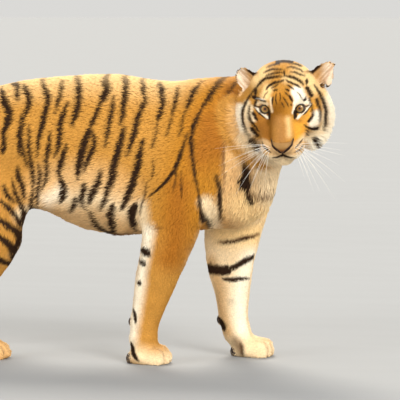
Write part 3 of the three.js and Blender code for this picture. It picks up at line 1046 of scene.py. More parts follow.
    def build(self) -> tuple[bpy.types.Object, Net]:
        """Makes the skin, and returns it with its arrays.

        Returns:
            The object and its arrays.
        """
        thing = self.rough()
        thing.name = "skin"
        net = Net(thing.data)
        self.even_out(net)
        net.save(thing.data)
        to_toes = np.min([np.abs(net.points[:, 0] - paw.front + 35) for paw in PAWS], axis=0)
        on_toes = (net.points[:, 2] < 90) & (to_toes < 55)
        self.refine(thing.data, (headness(net.points) > 0.3) | on_toes)
        net = Net(thing.data)
        self.shape_head(net)
        net.save(thing.data)
        q = POSTURE.to_head(net.points)
        fine = np.zeros(len(q), bool)
        for side in Side:
            fine |= np.linalg.norm(q - EYES.middle(side), axis=1) < 36
        fine |= (q[:, 0] > 62) & (headness(net.points) > 0.5)
        self.refine(thing.data, fine)
        net = Net(thing.data)
        self.shape_head(net)
        self.sink(net)
        self.open_eyes(net)
        self.seat_nose(net)
        self.part_toes(net)
        net.save(thing.data)
        return thing, net


# ---- The markings ----


def linear(red: int, green: int, blue: int) -> Triple:
    """Returns a screen colour from 0 to 255 as linear light."""
    shares = (red / 255, green / 255, blue / 255)
    return tuple(c / 12.92 if c <= 0.04045 else ((c + 0.055) / 1.055) ** 2.4 for c in shares)


class Tone(Enum):
    """The coat's colours."""

    ORANGE = linear(190, 136, 60)
    DEEP = linear(184, 124, 36)
    # PALE is pale fur; it also serves as painted highlight along the top of the back and down the bridge,
    # and as painted shade where it dims the white over the left eye.
    PALE = linear(242, 206, 146)
    TAN = linear(222, 178, 120)
    CREAM = linear(240, 214, 172)
    WHITE = linear(251, 239, 214)
    BROWN = linear(96, 58, 26)
    BLACK = linear(44, 27, 14)
    # DUSK is the cheek's orange in shade, painted as shade on the left cheek.
    DUSK = linear(164, 106, 40)
    MAUVE = linear(192, 156, 124)
    # SIENNA is the neck's darker orange, made darker still as painted shade.
    SIENNA = linear(164, 102, 30)
    # UMBER is a dark brown for the brow's middle, and painted shade beside the left of the bridge.
    UMBER = linear(134, 85, 20)
    # BUFF is a brown tan: the bridge's own colour, and painted shadow of the head on the neck.
    BUFF = linear(168, 119, 62)
    # GOLD is a warm orange, partly painted light on the lit right cheek.
    GOLD = linear(228, 162, 58)
    # SAND is cream as it looks in shade: the whisker pads' own colour, and painted shade under the trunk and
    # on the neck.
    SAND = linear(210, 172, 122)


@dataclass(frozen=True)
class Stroke:
    """A brush stroke of colour: points on a drawing board, width, tone and softness of edge."""

    face: Face
    points: tuple[Pair, ...]
    width: float
    tone: Tone = Tone.BLACK
    soft: float = 3.0
    strength: float = 1.0
    taper: float = 0.3

    def cover(self, board: Array) -> Array:
        """Returns how strongly the stroke covers points of its board, from 0 to 1.

        Args:
            board: Places on the board.

        Returns:
            One share for each.
        """
        rows = curve_through(np.array(self.points), 5)
        margin = self.width / 2 + self.soft
        low, high = rows.min(axis=0) - margin, rows.max(axis=0) + margin
        close = np.flatnonzero(np.all((board > low) & (board < high), axis=1))
        answer = np.zeros(len(board))
        if not len(close):
            return answer
        gap, place = nearest_on(rows, board[close])
        place = place / (len(rows) - 1)
        half = self.width / 2
        if self.taper:
            half = half * (0.25 + 0.75 * np.minimum(np.minimum(place, 1 - place) / self.taper, 1.0) ** 0.6)
        answer[close] = self.strength * smoothstep(-self.soft, self.soft, half - gap)
        return answer


def wash(face: Face, tone: Tone, width: float, soft: float, *points: Pair) -> Stroke:
    """Returns a broad soft stroke with round ends."""
    return Stroke(face, points, width, tone, soft, 1.0, 0.0)


def stripe(width: float, *points: Pair) -> Stroke:
    """Returns a dark stripe of the right side."""
    return Stroke(Face.RIGHT, points, 1.14 * width)


def mark(width: float, *points: Pair) -> Stroke:
    """Returns a dark mark of the face."""
    return Stroke(Face.MASK, points, 1.2 * width, Tone.BLACK, 1.8)


def spot(width: float, *points: Pair) -> Stroke:
    """Returns a dark blunt spot of the face."""
    return Stroke(Face.MASK, points, width, Tone.BLACK, 2.2, 1.0, 0.0)


# Stripes of the trunk's right side, from the haunch forward: width, then x and z.
TRUNK_STRIPES = (
    stripe(18, (-950, 860), (-930, 780), (-950, 700), (-985, 640)),
    stripe(20, (-895, 900), (-870, 810), (-885, 735), (-935, 670)),
    stripe(20, (-840, 925), (-812, 840), (-822, 765), (-870, 690), (-930, 640)),
    stripe(21, (-785, 940), (-755, 860), (-758, 785), (-795, 705), (-850, 640)),
    stripe(21, (-735, 950), (-705, 870), (-708, 795), (-735, 715), (-770, 650)),
    stripe(27, (-700, 935), (-668, 890), (-643, 850), (-645, 815), (-662, 780)),
    stripe(18, (-662, 800), (-655, 750), (-665, 715)),
    stripe(15, (-672, 945), (-642, 942), (-628, 918), (-620, 890)),
    stripe(19, (-618, 945), (-590, 918), (-576, 890), (-576, 862), (-584, 835)),
    stripe(12, (-584, 845), (-590, 795), (-592, 760), (-584, 710), (-575, 670)),
    stripe(10, (-592, 865), (-600, 800), (-602, 745), (-600, 700)),
    stripe(20, (-612, 672), (-606, 630), (-596, 595), (-590, 555)),
    stripe(15, (-636, 630), (-626, 590), (-614, 560), (-600, 530), (-596, 500), (-606, 470)),
    stripe(14, (-566, 820), (-566, 750), (-562, 700), (-558, 650), (-556, 600), (-562, 555)),
    stripe(16, (-560, 580), (-566, 545), (-580, 515)),
    stripe(
        19, (-562, 968), (-536, 940), (-513, 908), (-506, 885),
        (-513, 850), (-520, 805), (-530, 765), (-536, 700),
    ),
    stripe(15, (-532, 690), (-530, 650), (-534, 605), (-541, 570), (-546, 535)),
    stripe(14, (-478, 962), (-470, 935), (-470, 900), (-472, 850)),
    stripe(18, (-433, 895), (-441, 860), (-450, 825), (-454, 780), (-460, 740), (-471, 705)),
    stripe(14, (-488, 795), (-491, 750), (-499, 700), (-502, 660), (-510, 625), (-521, 585)),
    stripe(22, (-440, 978), (-412, 952), (-402, 915), (-396, 880), (-402, 845), (-413, 812)),
    stripe(19, (-428, 755), (-436, 722), (-446, 690), (-456, 662), (-458, 640)),
    stripe(23, (-458, 650), (-448, 618), (-440, 604), (-450, 575), (-462, 552)),
    stripe(23, (-335, 985), (-318, 962), (-304, 935), (-308, 908), (-316, 885)),
    stripe(16, (-312, 900), (-320, 868), (-332, 835), (-346, 800)),
    stripe(25, (-342, 812), (-356, 775), (-366, 738), (-376, 700), (-384, 665), (-391, 630)),
    stripe(17, (-338, 798), (-329, 765), (-334, 735), (-350, 692), (-366, 655)),
    stripe(15, (-275, 915), (-274, 880), (-279, 840), (-284, 795), (-291, 740)),
    stripe(22, (-303, 670), (-315, 630), (-330, 600), (-345, 572), (-357, 545)),
    stripe(21, (-364, 625), (-370, 595), (-380, 565), (-381, 532)),
    stripe(19, (-400, 575), (-412, 548), (-435, 522)),
    stripe(18, (-368, 532), (-356, 497), (-344, 475), (-328, 460), (-306, 448)),
    stripe(26, (-268, 555), (-285, 515), (-287, 480), (-305, 445)),
    stripe(19, (-268, 978), (-246, 955), (-239, 925), (-237, 885), (-236, 850), (-241, 812)),
    stripe(
        24, (-224, 815), (-231, 780), (-238, 750), (-250, 700),
        (-262, 660), (-275, 620), (-292, 575), (-322, 525),
    ),
    stripe(13, (-208, 968), (-187, 948), (-174, 918), (-166, 893), (-171, 866)),
    stripe(18, (-178, 895), (-180, 855), (-186, 810), (-197, 770), (-212, 712)),
    stripe(24, (-158, 775), (-166, 735), (-173, 700), (-184, 660), (-203, 610), (-226, 560), (-248, 530)),
    stripe(18, (-138, 958), (-116, 930), (-105, 895), (-106, 860), (-113, 820)),
    stripe(9, (-112, 828), (-117, 785), (-127, 735)),
    stripe(14, (-66, 945), (-59, 910), (-57, 880), (-63, 850)),
    stripe(7, (-62, 858), (-69, 815), (-77, 780)),
    stripe(17, (12, 962), (-4, 932), (-10, 900), (-14, 872)),
    stripe(8, (-14, 880), (-23, 840), (-27, 805), (-37, 780)),
    stripe(19, (118, 992), (88, 975), (70, 945), (55, 910), (38, 880)),
    stripe(
        13, (58, 925), (40, 885), (26, 850), (14, 810), (11, 770),
        (14, 720), (20, 685), (28, 635), (36, 585),
    ),
    stripe(9, (34, 600), (38, 560), (38, 515)),
    stripe(16, (38, 535), (42, 500), (46, 465)),
    stripe(12, (146, 975), (132, 955), (122, 932), (112, 908), (102, 885)),
    stripe(
        12, (-4, 798), (-11, 765), (-20, 740), (-30, 700),
        (-48, 665), (-75, 630), (-104, 600), (-135, 576),
    ),
    stripe(6, (-28, 700), (-40, 660), (-46, 600)),
    stripe(5, (-20, 670), (-20, 570)),
    stripe(6, (-119, 705), (-121, 665), (-132, 632)),
    stripe(7, (-145, 630), (-151, 580), (-165, 545), (-177, 508)),
    stripe(30, (-183, 555), (-205, 522), (-214, 490), (-214, 460)),
    Stroke(Face.RIGHT, ((-330, 446), (-265, 446), (-205, 448)), 17, Tone.BROWN, 6, 0.8),
    stripe(14, (88, 655), (95, 620), (96, 580), (95, 540), (90, 495)),
    Stroke(Face.RIGHT, ((104, 830), (110, 760), (113, 700), (114, 650), (109, 590)), 7, Tone.BROWN, 3, 0.85),
    stripe(20, (160, 815), (165, 780), (172, 745), (176, 715), (180, 690)),
    stripe(22, (176, 735), (180, 700), (181, 660), (181, 625)),
    stripe(36, (180, 645), (176, 622), (184, 600)),
    stripe(16, (176, 612), (182, 585), (190, 560), (194, 548)),
    Stroke(Face.RIGHT, ((184, 598), (204, 574), (234, 570), (258, 584)), 13, Tone.BROWN, 5, 0.9),
)

# Stripes of the right thigh and shank.
THIGH_STRIPES = (
    stripe(14, (-668, 610), (-648, 570), (-622, 540)),
    stripe(15, (-668, 552), (-636, 522), (-614, 492), (-608, 458)),
    stripe(19, (-690, 500), (-655, 480), (-634, 460), (-614, 440), (-611, 415), (-622, 390)),
    stripe(21, (-700, 440), (-660, 422), (-636, 400), (-630, 375), (-642, 345)),
    stripe(20, (-700, 365), (-665, 345), (-640, 320)),
    stripe(18, (-740, 690), (-715, 625), (-690, 570)),
    stripe(18, (-850, 640), (-790, 600), (-740, 545)),
    stripe(19, (-960, 610), (-890, 575), (-820, 530), (-770, 500)),
    stripe(18, (-930, 520), (-860, 500), (-790, 455)),
    stripe(17, (-850, 440), (-790, 420), (-730, 400)),
    stripe(17, (-830, 375), (-770, 360), (-700, 345)),
    stripe(16, (-840, 310), (-780, 300), (-700, 292)),
    stripe(12, (-830, 245), (-780, 240), (-740, 236)),
)

# The same for the left leg, which stands further back.
LEFT_THIGH_STRIPES = tuple(
    Stroke(Face.LEFT, points, width)
    for width, points in (
        (19, ((-640, 660), (-625, 600), (-630, 560))),
        (18, ((-700, 690), (-680, 610), (-650, 550))),
        (19, ((-780, 700), (-745, 610), (-700, 540))),
        (18, ((-860, 650), (-800, 580), (-740, 510))),
        (19, ((-950, 610), (-880, 550), (-800, 480))),
        (17, ((-930, 510), (-860, 470), (-790, 420))),
        (17, ((-880, 430), (-820, 400), (-740, 370))),
        (16, ((-920, 380), (-870, 350), (-800, 330))),
        (15, ((-960, 330), (-920, 300), (-870, 280))),
        (12, ((-1000, 270), (-950, 255), (-910, 245))),
    )
)

# Bars of the forelegs, and those inside the legs, with painted shade at the back of the far forepaw.
FORELEG_BARS = (
    Stroke(Face.RIGHT, ((-140, 474), (-105, 472), (-80, 475)), 9, Tone.BROWN, 5, 0.6),
    stripe(24, (-172, 392), (-150, 386), (-132, 372)),
    stripe(16, (-178, 352), (-160, 346), (-148, 338)),
    stripe(14, (-182, 282), (-166, 272)),
    stripe(12, (-198, 190), (-188, 160), (-186, 140)),
    stripe(19, (-204, 74), (-194, 44), (-174, 12)),
    Stroke(Face.LEFT, ((20, 470), (90, 455)), 9, Tone.BROWN, 5, 0.6),
    Stroke(Face.LEFT, ((0, 400), (40, 392)), 13),
    Stroke(Face.LEFT, ((0, 345), (30, 335)), 11),
    Stroke(Face.INNER_LEFT, ((40, 401), (90, 405), (143, 417), (184, 431)), 14, Tone.BROWN, 6),
    Stroke(Face.INNER_LEFT, ((60, 402), (110, 407), (165, 421)), 9, Tone.BLACK, 4),
    Stroke(Face.INNER_LEFT, ((-20, 304), (12, 303), (56, 301), (86, 309)), 37, Tone.BLACK, 4, 1.0, 0.02),
    Stroke(Face.INNER_LEFT, ((60, 304), (96, 314), (134, 334), (185, 358)), 21),
    Stroke(Face.INNER_LEFT, ((56, 272), (100, 270), (148, 273)), 16),
    Stroke(Face.INNER_LEFT, ((80, 197), (100, 188)), 22, Tone.BROWN, 14, 0.25),
    Stroke(Face.INNER_LEFT, ((44, 132), (58, 110), (64, 88)), 26, Tone.BLACK, 5),
    Stroke(Face.LEFT, ((44, 132), (58, 110), (64, 88)), 26, Tone.BLACK, 5),
    # Painted shade: a dark smear at the back of the far forepaw, where the toes and the dew pad shade it.
    Stroke(Face.INNER_LEFT, ((124, 54), (132, 30), (136, 4)), 13, Tone.BLACK, 6, 0.9),
    Stroke(Face.INNER_LEFT, ((100, 70), (116, 44), (130, 12)), 30, Tone.BROWN, 18, 0.7),
    Stroke(Face.INNER_RIGHT, ((-190, 440), (-100, 430), (0, 440)), 15),
    Stroke(Face.INNER_RIGHT, ((-190, 340), (-110, 335), (-30, 350)), 20),
    Stroke(Face.INNER_RIGHT, ((-190, 265), (-120, 262)), 9),
    *(
        Stroke(face, ((x - 90, z), (x, z - 8), (x + 80, z + 12)), 16)
        for face, x, z in (
            (Face.INNER_RIGHT, -720, 520),
            (Face.INNER_RIGHT, -710, 430),
            (Face.INNER_RIGHT, -760, 330),
            (Face.INNER_LEFT, -800, 520),
            (Face.INNER_LEFT, -800, 430),
            (Face.INNER_LEFT, -880, 330),
        )
    ),
)


def other_flank(strokes: Sequence[Stroke]) -> list[Stroke]:
    """Returns the left side's version of the right side's stripes, alike but not the same.

    Args:
        strokes: The right side's stripes.

    Returns:
        The left side's stripes.
    """
    found = []
    for number, stroke in enumerate(strokes):
        drift = 17.0 * math.sin(2.1 * number)
        points = []
        for x, z in stroke.points:
            low = 1.0 - min(max((z - 880.0) / 90.0, 0.0), 1.0)
            across = drift + 12.0 * math.sin(0.013 * z + number)
            points.append((x + low * across, z - low * 8.0 * math.cos(number)))
        found.append(Stroke(Face.LEFT, tuple(points), stroke.width * (1 + 0.15 * math.sin(5.0 * number))))
    return found


# The dark marks of the face: width, then places across and up the mask.
FACE_MARKS = (
    spot(13, (-18, 153), (6, 156), (28, 152)),
    mark(5, (-54, 134), (-40, 141), (-23, 145), (-7, 147)),
    mark(5, (30, 147), (46, 143), (63, 136)),
    mark(6, (-63, 118), (-50, 124), (-33, 130), (-16, 130), (1, 130)),
    mark(5, (11, 133), (28, 136), (44, 132), (60, 125), (74, 115)),
    mark(5, (5, 126), (8, 120), (8, 109)),
    mark(6, (-56, 108), (-42, 114), (-25, 118), (-8, 120), (5, 117)),
    mark(5.5, (25, 119), (41, 119), (58, 112), (77, 105)),
    mark(8.5, (5, 106), (-15, 107), (-32, 104), (-52, 101), (-69, 91), (-83, 75), (-102, 55)),
    mark(
        9.5, (-90, 70), (-116, 35), (-127, 15), (-135, -5), (-136, -29),
        (-134, -49), (-128, -69), (-106, -110),
    ),
    mark(8, (8, 109), (22, 106), (38, 102), (52, 95), (65, 85), (71, 76)),
    mark(8, (-53, 62), (-45, 74), (-35, 80), (-21, 87), (-5, 90), (9, 96)),
    mark(7, (12, 96), (25, 89), (39, 82), (52, 75), (62, 66)),
    mark(4, (-38, 67), (-24, 73), (-11, 80)),
    mark(6, (-29, 59), (-14, 63)),
    mark(5, (16, 79), (29, 72), (42, 61)),
    mark(6, (12, 66), (26, 58)),
    mark(4, (9, 56), (19, 46), (26, 36)),
    mark(7.5, (26, 46), (30, 33), (36, 22)),
    mark(5, (29, 16), (32, 9)),
    mark(6, (-27, 40), (-31, 30), (-31, 13)),
    mark(3.5, (-17, 50), (-21, 34), (-17, 14)),
    mark(3, (-8, 53), (-4, 37), (-7, 23)),
    mark(3.5, (2, 40), (13, 26), (22, 6)),
    mark(3, (-1, 20), (9, 3)),
    spot(11, (-88, 62), (-90, 50)),
    spot(13, (-97, 40), (-84, 36)),
    spot(7, (-76, 35), (-65, 28), (-55, 25)),
    mark(3, (-45, 57), (-55, 47), (-61, 34)),
    spot(9, (-87, 28), (-91, 18), (-94, 8)),
    mark(4.5, (-94, 8), (-81, 8), (-70, 8)),
    mark(3, (49, 55), (58, 45), (65, 32), (71, 28)),
    mark(7, (68, 28), (74, 28), (77, 38)),
    mark(8, (81, 96), (81, 77)),
    spot(14, (82, 66), (89, 54), (96, 42)),
    spot(8, (90, 31), (94, 18), (99, 4)),
    mark(4, (77, 5), (90, 9)),
    mark(8, (-109, 15), (-112, -5), (-113, -25), (-106, -42), (-96, -55), (-86, -66)),
    mark(10, (-99, -7), (-95, -22), (-85, -39)),
    spot(15, (-104, -66), (-98, -76), (-91, -86)),
    mark(4, (-93, -66), (-76, -76)),
    spot(20, (-109, -103), (-99, -116), (-91, -126)),
    mark(9.5, (102, 78), (115, 57), (125, 37), (133, 13), (138, -10), (137, -34), (134, -58), (130, -80)),
    spot(10, (112, 27), (116, 8)),
    mark(6, (114, 18), (119, 6), (122, -14), (121, -32), (118, -50)),
    spot(10, (99, -4), (101, -19), (95, -34), (86, -44)),
    mark(6, (69, -55), (82, -65), (97, -69), (108, -67), (114, -66)),
    spot(12, (104, -68), (112, -67)),
    mark(4, (75, -72), (84, -80)),
    mark(4, (74, -82), (83, -91)),
    spot(19, (105, -104), (108, -119)),
    mark(4, (-93, 3), (-84, -9), (-69, -23), (-57, -31)),
    mark(4, (95, 8), (84, -8), (68, -23)),
    mark(8, (-40, -6), (-43, -20), (-41, -36)),
    mark(10, (40, -6), (43, -20), (41, -36)),
    mark(4, (-68, -109), (-64, -125), (-50, -138), (-36, -147)),
    mark(3.5, (-62, -121), (-52, -132), (-44, -139)),
    mark(4, (68, -101), (56, -118), (42, -134)),
    mark(4, (69, -121), (58, -137), (40, -146)),
    spot(5, (-70, -156), (-56, -158)),
    mark(6, (-36, -162), (-21, -162), (-5, -156), (5, -157), (23, -163), (40, -163)),
    mark(5, (0, -140), (-1, -156)),
)

# Broad washes that lie under the stripes.
SIDE_WASHES = tuple(
    wash(face, *row)
    for face in (Face.RIGHT, Face.LEFT)
    for row in (
        # Painted highlight: a pale band along the top of the back, rim light from behind painted into the
        # fur.
        (Tone.PALE, 150, 80, (-900, 972), (-600, 1008), (-300, 1018), (0, 992)),
        (Tone.DEEP, 210, 80, (60, 880), (30, 700), (0, 540)),
        # The SIENNA washes on the neck and shoulder are the fur's darker orange, deepened further as painted
        # shade.
        (Tone.SIENNA, 96, 60, (62, 830), (60, 780), (45, 720)),
        (Tone.SIENNA, 80, 40, (128, 925), (116, 850), (100, 760)),
        (Tone.SIENNA, 50, 40, (186, 900), (170, 860)),
        (Tone.SIENNA, 84, 44, (-30, 610), (-36, 540), (-42, 440), (-62, 370)),
        (Tone.TAN, 160, 60, (-500, 580), (-430, 600), (-330, 600), (-250, 560)),
        (Tone.CREAM, 50, 44, (-430, 562), (-320, 562), (-235, 530)),
        (Tone.WHITE, 30, 34, (-506, 560), (-478, 574), (-456, 590)),
        (Tone.CREAM, 50, 22, (-166, 540), (-165, 500), (-165, 460)),
        (Tone.TAN, 160, 14, (192, 800), (194, 720), (186, 620), (165, 560)),
        # The SAND and BUFF washes down the neck below the head are pale fur darkened with painted shadow of
        # the head.
        (Tone.SAND, 60, 30, (176, 830), (186, 760), (196, 690)),
        (Tone.SAND, 50, 30, (176, 790), (184, 700), (196, 620)),
        (Tone.BUFF, 22, 22, (180, 840), (184, 780), (190, 700), (194, 640)),
        (Tone.CREAM, 70, 30, (256, 740), (252, 680), (236, 560), (200, 470)),
        (Tone.PALE, 90, 40, (170, 540), (190, 500), (190, 450)),
        (Tone.CREAM, 46, 14, (56, 560), (64, 530), (62, 490)),
        # Painted shade: a tan band along the bottom of the belly.
        (Tone.TAN, 30, 22, (-430, 468), (-345, 446), (-225, 448)),
    )
) + (
    wash(
        Face.RIGHT, Tone.WHITE, 40, 22, (-138, 460), (-150, 390),
        (-170, 290), (-184, 200), (-200, 110), (-206, 50),
    ),
    wash(Face.RIGHT, Tone.CREAM, 34, 14, (42, 445), (26, 400), (8, 360), (-12, 310)),
    wash(Face.RIGHT, Tone.CREAM, 60, 20, (-590, 500), (-560, 440), (-600, 360)),
    wash(Face.RIGHT, Tone.CREAM, 60, 30, (-200, 40), (-130, 16), (-60, 16)),
    wash(Face.LEFT, Tone.CREAM, 90, 40, (60, 30), (260, 15)),
    wash(Face.LEFT, Tone.WHITE, 44, 14, (-10, 460), (0, 380), (10, 280), (30, 180)),
    wash(Face.LEFT, Tone.CREAM, 62, 16, (205, 430), (176, 340), (158, 220), (152, 120), (180, 84)),
    wash(Face.RIGHT, Tone.TAN, 70, 30, (-780, 40), (-640, 30)),
    wash(Face.LEFT, Tone.TAN, 70, 30, (-1000, 40), (-860, 30)),
    wash(Face.INNER_LEFT, Tone.CREAM, 700, 60, (-1000, 300), (300, 300)),
    wash(Face.INNER_RIGHT, Tone.CREAM, 700, 60, (-1000, 300), (300, 300)),
    wash(Face.INNER_LEFT, Tone.SAND, 44, 24, (18, 330), (44, 250), (56, 160), (76, 90)),
    wash(Face.INNER_LEFT, Tone.WHITE, 50, 26, (160, 360), (124, 260), (122, 160), (132, 100)),
    wash(Face.INNER_LEFT, Tone.PALE, 90, 40, (60, 440), (190, 430)),
)

FACE_WASHES = tuple(
    wash(Face.MASK, *row)
    for row in (
        (Tone.TAN, 40, 14, (-168, 0), (-172, -40), (-160, -100)),
        (Tone.PALE, 26, 12, (112, 92), (130, 66), (146, 40)),
        (Tone.CREAM, 30, 12, (130, 88), (148, 72), (160, 56)),
        (Tone.PALE, 22, 12, (12, 98), (36, 92), (50, 84)),
        (Tone.PALE, 50, 24, (58, 122), (84, 106), (104, 70)),
        (Tone.PALE, 40, 24, (-58, 118), (-86, 96)),
        (Tone.DEEP, 50, 26, (0, 34), (0, 10), (0, -10)),
        (Tone.UMBER, 40, 24, (-4, 12), (-8, -10)),
        # The UMBER and DUSK washes on the left of the bridge and over the left cheek are partly the face's
        # darker fur and partly painted shade on the side turned from the light.
        (Tone.UMBER, 26, 16, (-20, 0), (-22, -38)),
        (Tone.DUSK, 30, 20, (-80, -14), (-82, -40), (-74, -60)),
        (Tone.DUSK, 42, 22, (-48, -38), (-52, -62), (-50, -90)),
        (Tone.BUFF, 40, 18, (-6, -44), (-2, -72), (-2, -106)),
        # Painted shade: dark UMBER lines in the fold between the bridge and the left cheek.
        (Tone.UMBER, 9, 9, (-36, -20), (-39, -46), (-39, -74), (-39, -100)),
        (Tone.UMBER, 14, 8, (-44, -22), (-46, -48)),
        # Painted highlight: a thin pale stroke down the right edge of the bridge.
        (Tone.PALE, 10, 14, (21, -34), (25, -60), (25, -88)),
        # The GOLD of the right cheek is partly the cheek's own orange and partly painted light on the side
        # facing the light.
        (Tone.GOLD, 38, 14, (54, -50), (55, -68), (57, -90)),
        (Tone.DUSK, 12, 10, (50, -38), (58, -42)),
        (Tone.GOLD, 26, 12, (94, 12), (98, -10), (90, -38)),
        # The pale patch over the left eye is white fur dimmed with painted shade; the right one stays white.
        (Tone.PALE, 32, 9, (-46, 66), (-52, 52), (-58, 38)),
        (Tone.CREAM, 11, 4, (-86, 18), (-68, 22), (-50, 16)),
        (Tone.WHITE, 12, 5, (44, 18), (62, 24), (80, 22), (92, 14)),
        (Tone.CREAM, 7, 4, (-36, 34), (-37, 12), (-33, -9)),
        (Tone.WHITE, 40, 7, (50, 56), (56, 42), (64, 25)),
        (Tone.WHITE, 8, 4, (42, 20), (41, 4), (36, -14)),
        (Tone.WHITE, 9, 3, (-87, 4), (-78, -9), (-63, -20), (-50, -29)),
        (Tone.WHITE, 9, 3, (88, 6), (77, -9), (62, -20), (50, -32)),
        (Tone.CREAM, 22, 6, (-120, 20), (-124, -18), (-123, -49), (-112, -80)),
        (Tone.CREAM, 12, 5, (-104, 8), (-105, -15), (-99, -39)),
        (Tone.WHITE, 28, 8, (111, -22), (109, -38), (100, -52)),
        (Tone.CREAM, 50, 14, (124, -84), (104, -100), (84, -112)),
        (Tone.CREAM, 14, 5, (131, 30), (137, -10), (132, -51), (128, -78)),
        (Tone.WHITE, 26, 9, (-144, 6), (-150, -30), (-140, -80), (-120, -126)),
        (Tone.WHITE, 44, 8, (162, 44), (168, -20), (160, -80), (128, -124)),
        (Tone.CREAM, 60, 12, (-138, -106), (-104, -134), (-70, -136)),
        (Tone.WHITE, 50, 12, (120, -118), (96, -134), (74, -130)),
        (Tone.SAND, 46, 9, (-66, -124), (-40, -138), (-7, -149), (27, -146), (60, -128)),
        (Tone.CREAM, 46, 8, (-60, -176), (0, -184), (56, -176)),
        (Tone.WHITE, 26, 8, (56, -168), (84, -156)),
    )
)

PROFILE_WASHES = (
    wash(Face.PROFILE, Tone.CREAM, 90, 18, (-150, -150), (-60, -165), (90, -165)),
    wash(Face.PROFILE, Tone.WHITE, 60, 20, (-120, -60), (-110, -120), (-60, -165), (60, -170)),
)
PROFILE_MARKS = tuple(
    Stroke(Face.PROFILE, points, width)
    for width, points in (
        (9, ((-60, 70), (-78, 30), (-84, -20), (-76, -70))),
        (10, ((-100, 60), (-118, 20), (-122, -40), (-108, -100))),
        (11, ((-150, 60), (-160, 10), (-158, -50), (-142, -110))),
        (8, ((-20, 20), (-34, -10), (-36, -40))),
    )
)


